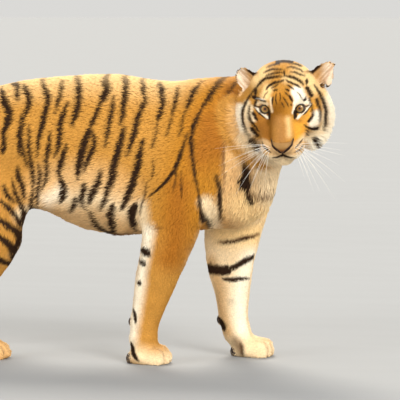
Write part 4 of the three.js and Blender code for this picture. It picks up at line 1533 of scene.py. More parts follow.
@dataclass(frozen=True)
class Markings:
    """The coat's colours at any place, the same for the skin and the tufts."""

    tail_path: tuple[Triple, ...] = (
        (-940, 0, 850), (-1040, 0, 835), (-1120, 4, 770), (-1172, 12, 670), (-1200, 22, 560),
        (-1222, 30, 450), (-1258, 34, 345), (-1325, 30, 262), (-1415, 18, 222), (-1500, 4, 232),
        (-1570, -6, 272),
    )
    tail_width: float = 80.0
    tail_start: float = 70.0
    ring_spacing: float = 74.0
    mask_tilt: Pair = (-0.53, 0.848)

    def boards(self, points: Array, normals: Array) -> dict[Face, tuple[Array, Array]]:
        """Returns each drawing board's coordinates of points and how far they show on it.

        Args:
            points: Trunk-frame points.
            normals: Their surface normals.

        Returns:
            For each board, two columns of coordinates and a share from 0 to 1.
        """
        q = POSTURE.to_head(points)
        facing = normals @ POSTURE.axes()
        head = smoothstep(0.35, 0.6, headness(points))
        body = 1 - smoothstep(0.55, 0.85, headness(points))
        across, up = self.mask_tilt
        mask = q[:, 1:2] * [1, 0] + (across * q[:, 0] + up * q[:, 2])[:, None] * [0, 1]
        ahead = smoothstep(-0.35, -0.1, facing[:, 0] * up - facing[:, 2] * across)
        ahead = ahead * smoothstep(-190, -150, q[:, 0])
        side = points[:, [0, 2]]
        in_legs = 1 - smoothstep(500, 560, points[:, 2])
        answer = {}
        for face, inner, sign in ((Face.RIGHT, Face.INNER_RIGHT, -1), (Face.LEFT, Face.INNER_LEFT, 1)):
            own = smoothstep(-2, 2, sign * points[:, 1])
            outward = smoothstep(-0.42, -0.12, sign * normals[:, 1])
            seen = 1 - in_legs * (1 - outward)
            answer[face] = (side, own * seen * body)
            answer[inner] = (side, own * in_legs * (1 - outward) * body)
        answer[Face.MASK] = (mask, head * ahead)
        answer[Face.PROFILE] = (q[:, [0, 2]], head * (1 - ahead))
        return answer

    def tail_place(self, points: Array) -> tuple[Array, Array]:
        """Returns how far along the tail points are, in millimetres, and whether they are on it.

        Args:
            points: Trunk-frame points.

        Returns:
            The distances along, and which points count.
        """
        rows = curve_through(np.array(self.tail_path), 6)
        lengths = np.concatenate([[0], np.cumsum(np.linalg.norm(np.diff(rows, axis=0), axis=1))])
        gap, place = nearest_on(rows, points)
        along = np.interp(place, np.arange(len(rows)), lengths)
        return along, (gap < self.tail_width) & (along > self.tail_start)

    def colours(self, points: Array, normals: Array) -> Array:
        """Returns the coat's linear colour at points.

        Args:
            points: Trunk-frame places on the skin.
            normals: The skin's normals there.

        Returns:
            One linear colour for each point.
        """
        noise = Noise(SEED)
        wobble = np.stack([noise.at(points + 900 * i, 46.0) for i in range(3)], axis=1) * 3.2
        wobble += np.stack([noise.at(points + 300 * i, 11.0) for i in range(3)], axis=1) * 1.1
        boards = self.boards(points + wobble * (1 - 0.7 * headness(points))[:, None], normals)
        colour = np.tile(np.array(Tone.ORANGE.value), (len(points), 1))
        strokes = [*SIDE_WASHES, *FACE_WASHES, *PROFILE_WASHES]
        # Painted shade: the trunk's underside is mixed towards SAND, cream darkened as if in shadow.
        under = smoothstep(0.25, 0.75, -normals[:, 2]) * smoothstep(300, 420, points[:, 2])
        under = under * (1 - headness(points)) * smoothstep(-1010, -940, points[:, 0])
        colour = self.mix(colour, Tone.SAND, under)
        for stroke in strokes:
            board, seen = boards[stroke.face]
            colour = self.mix(colour, stroke.tone, stroke.cover(board) * seen)
        colour = self.colour_ears(colour, points, normals)
        colour = self.mix(colour, Tone.BLACK, self.lid_line(points))
        along, on_tail = self.tail_place(points)
        below = smoothstep(-0.3, 0.6, -normals[:, 2] - 0.6 * normals[:, 0])
        colour = self.mix(colour, Tone.CREAM, on_tail * below * 0.75)
        darks = [
            *TRUNK_STRIPES, *THIGH_STRIPES, *other_flank(TRUNK_STRIPES), *LEFT_THIGH_STRIPES,
            *FORELEG_BARS, *FACE_MARKS, *PROFILE_MARKS,
        ]
        faded = 1 - 0.3 * smoothstep(925, 985, points[:, 2])
        for stroke in darks:
            board, seen = boards[stroke.face]
            if stroke.face in (Face.RIGHT, Face.LEFT):
                seen = seen * faded
            colour = self.mix(colour, stroke.tone, stroke.cover(board) * seen)
        # Painted shade: brown darkening in the clefts between the toes.
        colour = self.mix(colour, Tone.BROWN, 0.6 * sum(paw.cleft(points) for paw in PAWS))
        swing = along + 9.0 * noise.at(points, 60.0)
        phase = np.abs((swing / self.ring_spacing) % 1.0 - 0.5) * self.ring_spacing
        ring = smoothstep(-3, 3, 12.5 + 3 * np.sin(along / 40) - phase)
        tip = smoothstep(905, 925, swing)
        return self.mix(colour, Tone.BLACK, on_tail * np.maximum(ring * smoothstep(70, 110, along), tip))

    @staticmethod
    def lid_line(points: Array) -> Array:
        """Returns how much of the dark line round the eyes each point shows.

        Args:
            points: Trunk-frame points.

        Returns:
            One share for each.
        """
        q = POSTURE.to_head(points)
        line = np.zeros(len(points))
        for side in Side:
            offset, along, inside = EYES.view(side, q)
            near = (along > 0) & (np.linalg.norm(offset, axis=1) < EYES.radius + 14)
            edge = -0.26 - 0.12 * smoothstep(-4, 8, offset @ EYES.axes(side)[2])
            line = np.maximum(line, near * smoothstep(edge - 0.08, edge + 0.08, inside))
        return line

    @staticmethod
    def mix(colour: Array, tone: Tone, share: Array) -> Array:
        """Returns colours mixed towards a tone by a share for each."""
        return colour + (np.array(tone.value) - colour) * np.asarray(share, float)[:, None]

    def colour_ears(self, colour: Array, points: Array, normals: Array) -> Array:
        """Paints the ears: pale inside, black behind with a white spot, and an orange rim.

        Args:
            colour: The colours so far.
            points: Trunk-frame points.
            normals: The surface's normals there.

        Returns:
            The new colours.
        """
        q = POSTURE.to_head(points)
        facing = normals @ POSTURE.axes()
        for ear in EARS.values():
            on = 1 - smoothstep(3, 9, ear.distance(q))
            wide, long = ear.local(q)[:, 1:].T
            on = on * smoothstep(-0.6, -0.3, long)
            behind = smoothstep(0.3, 0.55, -(facing @ unit(np.array(ear.facing))))
            streak = 0.5 + 0.5 * Noise(SEED + 7).at(np.stack([9 * wide, 1.6 * long, 0 * long], axis=1), 1.0)
            front = on * (1 - behind)
            colour = self.mix(colour, Tone.MAUVE, front)
            colour = self.mix(colour, Tone.WHITE, front * (0.1 + 0.5 * smoothstep(0.2, 0.8, streak)))
            toward = -wide * math.copysign(1.0, ear.root[1])
            colour = self.mix(colour, Tone.ORANGE, front * smoothstep(-0.5, 0.5, toward - 0.9 * long) * 0.8)
            rim = smoothstep(0.8, 0.94, np.hypot(wide, long))
            colour = self.mix(colour, Tone.TAN, front * rim)
            inner = smoothstep(0.5, 0.66, toward)
            reach = smoothstep(-0.6, -0.2, long) * (1 - smoothstep(0.3, 0.6, long))
            colour = self.mix(colour, Tone.BLACK, front * inner * reach)
            colour = self.mix(colour, Tone.BLACK, on * behind * smoothstep(-0.15, 0.1, long))
            spot = 1 - smoothstep(0.3, 0.42, np.hypot(wide, (long - 0.25) * 1.2))
            colour = self.mix(colour, Tone.WHITE, on * behind * spot)
        return colour


MARKINGS = Markings()


# ---- The coat ----

COAT_LAYER = "coat_colour"


@dataclass(frozen=True)
class Roots:
    """Where tufts grow: place, normal, lie, length and lift of each, one row each."""

    place: Array
    normal: Array
    lie: Array
    length: Array
    lift: Array

    def part(self, chosen: Array) -> "Roots":
        """Returns the chosen rows."""
        return Roots(*(rows[chosen] for rows in vars(self).values()))


@dataclass(frozen=True)
class Coat:
    """The fur: flat pointed tufts that lie along the body, in pieces by region."""

    trunk_spacing: float = 4.3
    leg_spacing: float = 3.9
    head_spacing: float = 2.7
    tail_spacing: float = 4.2
    long_hair: float = 27.0
    patch: float = 0.003
    root_depth: float = 1.2
    thickness: float = 0.22
    clearance: float = 0.6

    def spacing(self, points: Array) -> Array:
        """Returns the distance between tufts at points.

        Args:
            points: Trunk-frame points.

        Returns:
            One distance for each.
        """
        head = headness(points)
        leg = 1 - smoothstep(400, 520, points[:, 2])
        tail = 1 - smoothstep(-1040, -1000, points[:, 0])
        body = blend(blend(self.trunk_spacing, self.leg_spacing, leg), self.tail_spacing, tail)
        return blend(body, self.head_spacing, head)

    @staticmethod
    def regions(points: Array) -> Array:
        """Returns the name of the piece of coat that each trunk-frame point belongs to.

        Args:
            points: Trunk-frame points.

        Returns:
            One name for each.
        """
        sides = np.where(points[:, 1] < 0, "right", "left")
        head_sides = np.where(POSTURE.to_head(points)[:, 1] < 0, "right", "left")
        x, z = points[:, 0], points[:, 2]
        parts = np.select(
            [x < -1000, (z < 430) & (x < -350), z < 430, x > 105, x > -150, x > -480],
            ["tail", "hindleg", "foreleg", "neck", "shoulder", "barrel"],
            "rump",
        )
        parts = np.where((x < -820) & (z < 430) & (points[:, 1] > 60), "hindleg", parts)
        names = np.char.add(np.char.add(parts.astype("U12"), "_"), sides)
        names = np.where(parts == "tail", "tail", names)
        return np.where(headness(points) > 0.5, np.char.add("head_", head_sides), names)

    def roots(self, net: Net, chosen: Array, rng: np.random.Generator) -> tuple[Roots, Array, Array]:
        """Scatters tufts over some of the skin's triangles.

        Args:
            net: The skin.
            chosen: The numbers of the triangles.
            rng: Random numbers.

        Returns:
            The roots, the triangle of each as a row of `chosen`, and its shares of the corners.
        """
        corners = net.points[net.triangles[chosen]]
        cross = np.cross(corners[:, 1] - corners[:, 0], corners[:, 2] - corners[:, 0])
        area = np.linalg.norm(cross, axis=1) / 2
        wanted = area / self.spacing(corners.mean(axis=1)) ** 2
        running = np.floor(np.cumsum(wanted) + rng.random())
        counts = np.diff(np.concatenate([[0.0], running])).astype(int)
        owner = np.repeat(np.arange(len(chosen)), np.maximum(counts, 0))
        u, v = rng.random((2, len(owner)))
        over = u + v > 1
        u, v = np.where(over, 1 - u, u), np.where(over, 1 - v, v)
        shares = np.stack([1 - u - v, u, v], axis=1)
        place = np.einsum("ij,ijk->ik", shares, corners[owner])
        vertex_normals = net.normals()[net.triangles[chosen]]
        normal = unit(np.einsum("ij,ijk->ik", shares, vertex_normals[owner]))
        growth = growth_at(place)
        lie = growth.lie - normal * np.sum(growth.lie * normal, axis=1, keepdims=True)
        sideways = np.cross(normal, unit(lie))
        lie = unit(unit(lie) + sideways * rng.normal(0, 0.16, (len(place), 1)))
        length = growth.length * rng.uniform(0.75, 1.2, len(place))
        shag = 1.1 + 0.45 * smoothstep(26, 36, growth.length)
        lift = growth.depth * (0.72 + (shag - 0.72) * rng.random(len(place)))
        return Roots(place, normal, lie, length, lift), owner, shares

    def bare(self, place: Array) -> Array:
        """Returns which places grow no tufts: the nose, the eyes and the soles.

        Args:
            place: Trunk-frame points.

        Returns:
            Whether each is bare.
        """
        q = POSTURE.to_head(place)
        nose = NOSE.share(q) < 1.0
        eyes = np.zeros(len(place), bool)
        for side in Side:
            offset, along, inside = EYES.view(side, q)
            facing = (along > 0) & (np.linalg.norm(offset, axis=1) < EYES.radius + 12)
            eyes |= facing & (inside > -0.16)
        return nose | eyes | (place[:, 2] < 3)

    def tufts(self, roots: Roots, width: Array, rings: Sequence[Triple]) -> tuple[Array, ...]:
        """Builds flat pointed tufts.

        Args:
            roots: Where they grow.
            width: The width of each.
            rings: Along a tuft, each ring's share of its length, of its lift and of its width.

        Returns:
            The points, as many for each tuft, the triangles, and a soft normal at each corner.
        """
        across = np.cross(roots.normal, roots.lie)
        shapes = [roots.place - roots.normal * self.root_depth]
        normals = [roots.normal]
        for along, rise, wide in rings:
            middle = roots.place + roots.lie * (roots.length * along)[:, None]
            middle = middle + roots.normal * (roots.lift * rise)[:, None]
            half = across * (width * wide / 2)[:, None]
            thick = roots.normal * (width * wide * self.thickness)[:, None]
            shapes += [middle - half - thick, middle + half - thick, middle + thick]
            normals += [roots.normal - 0.45 * across, roots.normal + 0.45 * across, roots.normal]
        tip_rise = (roots.lift * 0.98)[:, None]
        shapes.append(roots.place + roots.lie * roots.length[:, None] + roots.normal * tip_rise)
        normals.append(roots.normal + 0.1 * roots.lie)
        count = len(shapes)
        points = np.stack(shapes, axis=1).reshape(-1, 3)
        points[:, 2] = np.maximum(points[:, 2], self.clearance)
        pattern = [(0, 1 + (i + 1) % 3, 1 + i) for i in range(3)]
        below = [True, False, False]
        for ring in range(len(rings) - 1):
            for i in range(3):
                a, b = 1 + 3 * ring + i, 1 + 3 * ring + (i + 1) % 3
                pattern += [(a, b, b + 3), (a, b + 3, a + 3)]
                below += [i == 0] * 2
        last = count - 4
        pattern += [(last + i, last + (i + 1) % 3, count - 1) for i in range(3)]
        below += [True, False, False]
        faces = (np.arange(len(roots.place))[:, None, None] * count + np.array(pattern)).reshape(-1, 3)
        soft = unit(np.stack(normals, axis=1))[:, np.array(pattern)]
        soft = soft * np.where(below, -1.0, 1.0)[:, None, None]
        return points, faces, soft.reshape(-1, 3)

    def unwrap(self, net: Net, chosen: Array) -> Array:
        """Unwraps some of the skin's triangles into a unit square.

        Args:
            net: The skin.
            chosen: The numbers of the triangles.

        Returns:
            Two coordinates for each corner of each triangle.
        """
        used, numbers = np.unique(net.triangles[chosen], return_inverse=True)
        patchwork = new_object("unwrap", net.points[used], numbers.reshape(-1, 3))
        patchwork.data.uv_layers.new(name="flat")
        bpy.context.view_layer.objects.active = patchwork
        patchwork.select_set(True)
        bpy.ops.object.mode_set(mode="EDIT")
        bpy.ops.mesh.select_all(action="SELECT")
        bpy.ops.uv.smart_project(angle_limit=math.radians(70), island_margin=0.003)
        bpy.ops.object.mode_set(mode="OBJECT")
        flat = read(patchwork.data.uv_layers[0].data, "uv", 2)
        old = patchwork.data
        bpy.data.objects.remove(patchwork)
        bpy.data.meshes.remove(old)
        return np.clip(flat.reshape(-1, 3, 2), 0.002, 0.998)

    def piece(self, name: str, net: Net, chosen: Array, rng: np.random.Generator, finish: "Finish") -> int:
        """Makes one piece of coat.

        Args:
            name: Its region's name.
            net: The skin.
            chosen: The skin's triangles that it grows on.
            rng: Random numbers.
            finish: The fur's finish.

        Returns:
            How many triangles it has.
        """
        roots, owner, shares = self.roots(net, chosen, rng)
        grows = ~self.bare(roots.place)
        roots, owner, shares = roots.part(grows), owner[grows], shares[grows]
        flat = np.einsum("ij,ijk->ik", shares, self.unwrap(net, chosen)[owner])
        spacing = self.spacing(roots.place)
        width = spacing * rng.uniform(0.75, 1.05, len(spacing))
        jitter = rng.normal(0, 1, roots.place.shape) * (spacing * 0.2)[:, None]
        jitter = jitter + roots.lie * (roots.length * rng.normal(0, 0.1, len(spacing)))[:, None]
        variety = rng.normal(1.0, 0.06, (len(spacing), 1)).clip(0.85, 1.15)
        reach = roots.lie * roots.length[:, None]
        low, high = (
            MARKINGS.colours(roots.place + reach * share + jitter, roots.normal) * variety
            for share in (0.4, 0.85)
        )
        points, faces, tones, places, normals = [], [], [], [], []
        long = roots.length > self.long_hair
        # Along each tuft the colour is scaled by the last numbers of each style: darker at the root as
        # painted shade, a little lighter towards the tip.
        styles = (
            (~long, ((0.42, 0.8, 1.0),), (0.85, 0.98, 0.98, 1.0, 1.06)),
            (long, ((0.25, 0.62, 0.9), (0.66, 1.0, 0.8)), (0.8, 0.92, 0.92, 0.96, 1.0, 1.0, 1.04, 1.1)),
        )
        start = 0
        for group, rings, shades in styles:
            if not group.any():
                continue
            shape, corners, soft = self.tufts(roots.part(group), width[group], rings)
            points.append(shape)
            normals.append(soft)
            faces.append(corners + start)
            start += len(shape)
            mixed = np.linspace(0, 1, len(shades))[None, :, None]
            colour = blend(low[group][:, None], high[group][:, None], mixed)
            tones.append((colour * np.array(shades)[None, :, None]).reshape(-1, 3))
            spread = np.linspace(-0.5, 0.5, len(shades))
            offsets = np.stack([spread, spread * np.where(np.arange(len(shades)) % 2, 1, -1)], axis=1)
            places.append((flat[group][:, None, :] + offsets * self.patch).reshape(-1, 2))
        corners = np.vstack(faces)
        thing = new_object(f"coat_{name}", np.vstack(points), corners)
        paint(thing, COAT_LAYER, np.vstack(tones))
        layer = thing.data.uv_layers.new(name="OFBake")
        numbers = read(thing.data.loops, "vertex_index", 1, np.int32)[:, 0]
        layer.data.foreach_set("uv", np.vstack(places)[numbers].astype(np.float32).ravel())
        thing.data.normals_split_custom_set(np.vstack(normals).astype(np.float32))
        settle(thing, (), finish)
        return len(thing.data.polygons)

    def build(self, net: Net, finish: "Finish") -> None:
        """Makes every piece of coat over the skin.

        Args:
            net: The skin.
            finish: The fur's finish.
        """
        names = self.regions(net.points[net.triangles].mean(axis=1))
        total = 0
        for number, name in enumerate(sorted(set(names))):
            rng = np.random.default_rng(SEED + number)
            total += self.piece(str(name), net, np.flatnonzero(names == name), rng, finish)
        LOG.info("coat: %d triangles in all", total)


# ---- Eyes, nose, whiskers and pads ----


def ring_solid(rings: Array, looped: bool = False) -> tuple[Array, Array]:
    """Closes a stack of rings into a solid.

    Args:
        rings: Points by ring and place round it.
        looped: Whether the last ring joins the first; otherwise both ends are capped.

    Returns:
        The points and the triangles, facing out.
    """
    stack, around, _ = rings.shape
    points = rings.reshape(-1, 3)
    faces = []
    for i in range(stack if looped else stack - 1):
        low, high = i * around, ((i + 1) % stack) * around
        for j in range(around):
            k = (j + 1) % around
            faces += [(low + j, low + k, high + k), (low + j, high + k, high + j)]
    if not looped:
        points = np.vstack([points, rings[0].mean(axis=0), rings[-1].mean(axis=0)])
        first, last, top = stack * around, stack * around + 1, (stack - 1) * around
        for j in range(around):
            k = (j + 1) % around
            faces += [(first, k, j), (last, top + j, top + k)]
    corners = np.array(faces)
    a, b, c = (points[corners[:, i]] for i in range(3))
    if np.sum(a * np.cross(b, c)) < 0:
        corners = corners[:, ::-1]
    return points, corners


def joined(solids: Sequence[tuple[Array, Array]]) -> tuple[Array, Array]:
    """Returns several solids as one list of points and one of triangles.

    Args:
        solids: Each solid's points and triangles.

    Returns:
        All the points and all the triangles.
    """
    starts = np.cumsum([0, *(len(points) for points, _ in solids)])
    faces = [corners + start for (_, corners), start in zip(solids, starts)]
    return np.vstack([points for points, _ in solids]), np.vstack(faces)


def tube_along(path: Array, radii: Array, around: int, looped: bool = False) -> tuple[Array, Array]:
    """Makes a closed tube along a path.

    Args:
        path: Places.
        radii: A radius for each.
        around: How many corners a ring has.
        looped: Whether the path's end joins its start.

    Returns:
        The points and the triangles.
    """
    if looped:
        along = unit(np.roll(path, -1, axis=0) - np.roll(path, 1, axis=0))
    else:
        along = unit(np.gradient(path, axis=0))
    first = unit(np.cross(along, np.array([0.31, 0.22, 0.93])))
    second = np.cross(along, first)
    turn = np.linspace(0, 2 * math.pi, around, endpoint=False)
    round_about = first[:, None] * np.cos(turn)[:, None] + second[:, None] * np.sin(turn)[:, None]
    return ring_solid(path[:, None] + round_about * radii[:, None, None], looped)


@dataclass(frozen=True)
class EyePair:
    """Both eyeballs and the dark rims of their lids."""

    gaze: Triple = (0.86, 0.0, 0.51)
    iris_angle: float = 38.0
    pupil_angle: float = 9.5
    pupil_shade: float = 0.003
    bulge: float = 1.4
    rings: int = 60
    around: int = 96
    rim: float = 1.5

    def ball(self, side: Side, finish: "Finish") -> None:
        """Makes one eyeball with a painted iris under a bulging cornea.

        Args:
            side: Which eye.
            finish: Its finish.
        """
        out = unit(np.array(self.gaze))
        first = unit(np.cross(np.array([0.0, 0.0, 1.0]), out))
        second = np.cross(out, first)
        angle = np.radians(np.concatenate([np.linspace(1.2, 50, self.rings), np.linspace(56, 178, 16)]))
        turn = np.linspace(0, 2 * math.pi, self.around, endpoint=False)
        radius = EYES.radius + self.bulge * (1 - smoothstep(28, 44, np.degrees(angle)))
        flat = np.cos(turn)[:, None] * first + np.sin(turn)[:, None] * second
        rings = np.cos(angle)[:, None, None] * out + np.sin(angle)[:, None, None] * flat
        points, faces = ring_solid(rings * radius[:, None, None])
        middle = EYES.middle(side)
        name = f"eyeball_{side.name.lower()}"
        thing = new_object(name, POSTURE.from_head(points + middle), faces)
        degrees = np.degrees(np.arccos(np.clip(unit(points) @ out, -1, 1)))
        spin = np.arctan2(points @ second, points @ first)
        paint(thing, "eye_colour", self.colours(degrees, spin))
        settle(thing, (f"eye_{side.name.lower()}",), finish)

    def colours(self, degrees: Array, spin: Array) -> Array:
        """Returns the eyeball's colour by the angle from its middle and the turn about it.

        Args:
            degrees: The angles.
            spin: The turns in radians.

        Returns:
            One linear colour for each.
        """
        amber, olive = np.array(linear(158, 104, 44)), np.array(linear(164, 138, 82))
        dark, white = np.array(linear(34, 22, 12)), np.array(linear(120, 96, 76))
        share = degrees / self.iris_angle
        broad, narrow = np.sin(37 * spin + 3 * np.sin(5 * spin)), np.sin(61 * spin + 9 * share)
        fibres = 0.5 + 0.28 * broad + 0.22 * narrow
        mixed = smoothstep(0.35, 0.85, share)[:, None]
        colour = blend(amber, olive, mixed)
        colour = colour * (0.6 + 0.4 * fibres * smoothstep(0.3, 0.6, share))[:, None]
        limbus = (smoothstep(0.84, 0.98, share) * (1 - smoothstep(1.06, 1.2, share)))[:, None]
        colour = np.where((share > 1.02)[:, None], white, colour)
        colour = blend(colour, dark, limbus)
        pupil = 1 - smoothstep(self.pupil_angle - 1.2, self.pupil_angle + 0.8, degrees)
        return blend(colour, self.pupil_shade, pupil[:, None])

    def lids(self, side: Side, finish: "Finish") -> None:
        """Makes the dark bare rim round one eye, with a spur at the inner corner.

        Args:
            side: Which eye.
            finish: The rim's finish.
        """
        turn = np.linspace(0, 2 * math.pi, 120, endpoint=False)
        wide, high = EYES.outline(turn).T
        rows = EYES.axes(side)
        reach = EYES.radius + 1.0
        ahead = np.sqrt(np.maximum(reach**2 - wide**2 - high**2, 25.0))
        path = EYES.middle(side) + np.stack([ahead, wide, high], axis=1) @ rows
        inner, upper = np.maximum(-np.cos(turn), 0) ** 3, np.maximum(np.sin(turn), 0)
        radii = self.rim * (1.0 + 0.35 * inner + 0.2 * upper)
        points, faces = tube_along(path, radii, 12, True)
        thing = new_object(f"lid_rim_{side.name.lower()}", POSTURE.from_head(points), faces)
        settle(thing, (), finish)

    def build(self, ball: "Finish", rim: "Finish") -> None:
        """Makes both eyes.

        Args:
            ball: The eyeballs' finish.
            rim: The rims' finish.
        """
        for side in Side:
            self.ball(side, ball)
            self.lids(side, rim)


@dataclass(frozen=True)
class Nose:
    """The nose leather, fitted to the front of the muzzle, with its two nostrils."""

    rings: int = 46
    around: int = 168
    rise: float = 1.6
    nostril_depth: float = 5.0
    thickness: float = 13.0

    @staticmethod
    def front(board: Array) -> Array:
        """Returns how far forward the muzzle's surface is at places across and up.

        Args:
            board: Two columns in the head's frame.

        Returns:
            One place forward for each.
        """
        q = np.stack([np.full(len(board), 175.0), board[:, 0], board[:, 1]], axis=1)
        for _ in range(40):
            q[:, 0] -= np.clip(HEAD.distance(q) * 0.7, -4.0, 6.0)
        return q[:, 0]

    def build(self, finish: "Finish") -> None:
        """Makes the nose.

        Args:
            finish: The leather's finish.
        """
        turn = np.linspace(0, 2 * math.pi, self.around, endpoint=False)
        share = np.linspace(0.01, 1.0, self.rings)
        reach = share[:, None] * NOSE.reach(turn)
        board = np.stack([reach * np.sin(turn), reach * np.cos(turn)], axis=2) + np.array(NOSE.middle)
        flat = board.reshape(-1, 2)
        halves = np.stack([np.abs(flat[:, 0]), flat[:, 1]], axis=1)
        slit = Stroke(Face.MASK, NOSE.nostril, 12.5, Tone.BLACK, 2.2, 1.0, 0.3)
        wing = Stroke(Face.MASK, ((10, -58), (22, -58), (32, -55)), 11, Tone.BLACK, 5.0)
        groove = Stroke(Face.MASK, ((0, -72), (0, -78), (0, -86)), 3.4, Tone.BLACK, 1.6, 1.0, 0.05)
        edge = np.repeat(share, self.around)
        dent = slit.cover(halves) * self.nostril_depth + groove.cover(halves) * 2.2
        dent = dent - wing.cover(halves) * 1.8 + 4.2 * smoothstep(0.86, 1.0, edge)
        dent = dent * (1 - 0.6 * smoothstep(0.9, 1.0, edge) * (slit.cover(halves) > 0.1))
        front = self.front(flat) + self.rise - dent
        shell = np.stack([front, flat[:, 0], flat[:, 1]], axis=1).reshape(self.rings, self.around, 3)
        back = shell[-1] - np.array([self.thickness, 0.0, 0.0])
        back[:, 1:] = (back[:, 1:] - np.array(NOSE.middle)) * 0.86 + np.array(NOSE.middle)
        points, faces = ring_solid(np.concatenate([shell, back[None]]))
        thing = new_object("nose", POSTURE.from_head(points), faces)
        fleshy, tan = np.array(linear(116, 68, 24)), np.array(linear(150, 112, 64))
        dark = np.array(linear(46, 25, 15))
        upward = smoothstep(-72, -58, flat[:, 1])[:, None]
        colour = blend(fleshy, tan, upward)
        lower = smoothstep(0.8, 0.92, edge) * (1 - smoothstep(-58, -50, flat[:, 1]))
        shadow = np.maximum(np.maximum(slit.cover(halves), 0.8 * groove.cover(halves)), lower)
        colour = colour + (dark - colour) * shadow[:, None]
        colour = np.vstack([colour, np.tile(dark, (self.around, 1)), fleshy, dark])
        paint(thing, "nose_colour", colour)
        settle(thing, ("nose_leather",), finish)


@dataclass(frozen=True)
class Whiskers:
    """The long stiff hairs of the muzzle and brows."""

    rows: int = 4
    in_row: int = 4
    shortest: float = 96.0
    longest: float = 190.0
    root_radius: float = 0.65

    def hair(self, root: Triple, away: Triple, length: float, droop: float) -> tuple[Array, Array]:
        """Makes one whisker that leaves its root one way and sinks by a share of its length.

        Args:
            root: Where it starts, in the head's frame.
            away: Its direction.
            length: Its length.
            droop: The share.

        Returns:
            The points and the triangles.
        """
        t = np.linspace(0, 1, 12)[:, None]
        start = HEAD.settle(np.array([root], float), 5, 8.0)[0]
        path = start + unit(np.array(away)) * length * (t - 0.04)
        path = path + np.array([-0.45, 0.0, -1.0]) * droop * length * t**2
        radii = self.root_radius * (1 - 0.88 * t[:, 0])
        return tube_along(POSTURE.from_head(path), radii, 6)

    def build(self, finish: "Finish") -> None:
        """Makes all the whiskers.

        Args:
            finish: The whiskers' finish.
        """
        rng = np.random.default_rng(SEED)
        solids = []
        for side in Side:
            s = side.value
            for row in range(self.rows):
                for place in range(self.in_row):
                    share = place / (self.in_row - 1)
                    root = (118 - 6 * place, s * (42 + 6 * place), -78 - 9 * row)
                    angle = math.radians(6 + 17 * row + 7 * (self.in_row - 1 - place) + rng.normal(0, 3))
                    flat, down = math.cos(angle), math.sin(angle)
                    away = (0.5 * down - 0.3 * flat, s * flat, -0.85 * down)
                    size = (self.shortest + (self.longest - self.shortest) * share) * rng.uniform(0.8, 1.05)
                    solids.append(self.hair(root, away, size, rng.uniform(0.08, 0.2)))
            for i in range(3):
                away = (0.5, s * (0.5 + 0.25 * i), 0.8)
                solids.append(self.hair((10, s * (50 + 5 * i), 40), away, 40 + 5 * (i % 2), 0.25))
        points, faces = joined(solids)
        settle(new_object("whiskers", points, faces), (), finish)


@dataclass(frozen=True)
class Pads:
    """The leathery pads under the heels and wrists."""

    grain: float = 2.2
    sole: float = 1.2

    def build(self, finish: "Finish") -> None:
        """Makes a smooth piece for each pad's solid.

        Args:
            finish: The pads' finish.
        """
        for name in sorted(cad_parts):
            if "pad" not in name:
                continue
            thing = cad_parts[name].copy()
            thing.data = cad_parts[name].data.copy()
            thing.name = f"soft_{name}"
            for key in list(thing.keys()):
                if key.startswith("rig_"):
                    del thing[key]
            bpy.context.scene.collection.objects.link(thing)
            remesh(thing, self.grain)
            net = Net(thing.data)
            low = net.points[:, 2].min()
            net.points = net.smooth(net.points, 0.5, 8)
            net.points[:, 2] = np.where(net.points[:, 2] < low + self.sole, low, net.points[:, 2])
            net.save(thing.data)
            thing.data.shade_smooth()
            settle(thing, (name,), finish)


# ---- Finishes ----


def node(nodes: bpy.types.Nodes, kind: str, operation: str = "", **inputs: float | Triple) -> bpy.types.Node:
    """Adds a shader node, with its operation and the values of some of its inputs.

    Args:
        nodes: The tree's nodes.
        kind: The end of its type's name.
        operation: Its operation, if it has one.
        inputs: Values by input, with _ for each space.

    Returns:
        The node.
    """
    made = nodes.new(f"ShaderNode{kind}")
    if operation:
        made.operation = operation
    for name, value in inputs.items():
        made.inputs[name.replace("_", " ")].default_value = value
    return made


def hair_grain() -> bpy.types.NodeTree:
    """Makes the shared effect of fine streaks, which puts out a shade and a normal.

    Returns:
        The node group, made on first use.
    """
    found = bpy.data.node_groups.get("hair_grain")
    if found:
        return found
    group = bpy.data.node_groups.new("hair_grain", "ShaderNodeTree")
    new_socket = group.interface.new_socket
    for name, value in (("Scale", 300.0), ("Strength", 0.3), ("Relief", 0.4)):
        new_socket(name=name, in_out="INPUT", socket_type="NodeSocketFloat").default_value = value
    new_socket(name="Shade", in_out="OUTPUT", socket_type="NodeSocketFloat")
    new_socket(name="Normal", in_out="OUTPUT", socket_type="NodeSocketVector")
    nodes, link = group.nodes, group.links.new
    start, end = nodes.new("NodeGroupInput"), nodes.new("NodeGroupOutput")
    place = node(nodes, "TexCoord")
    stretch = node(nodes, "Mapping", Scale=(0.25, 1.0, 0.7))
    noise = node(nodes, "TexNoise", Detail=3.0)
    spread = node(nodes, "MapRange", From_Min=0.3, From_Max=0.7)
    least, most = node(nodes, "Math", "SUBTRACT"), node(nodes, "Math", "ADD")
    bump = node(nodes, "Bump", Distance=0.001)
    link(place.outputs["Object"], stretch.inputs["Vector"])
    link(stretch.outputs["Vector"], noise.inputs["Vector"])
    link(start.outputs["Scale"], noise.inputs["Scale"])
    link(noise.outputs["Fac"], spread.inputs["Value"])
    for bound, socket in ((least, "To Min"), (most, "To Max")):
        bound.inputs[0].default_value = 1.0
        link(start.outputs["Strength"], bound.inputs[1])
        link(bound.outputs[0], spread.inputs[socket])
    link(start.outputs["Relief"], bump.inputs["Strength"])
    link(noise.outputs["Fac"], bump.inputs["Height"])
    link(spread.outputs["Result"], end.inputs["Shade"])
    link(bump.outputs["Normal"], end.inputs["Normal"])
    return group


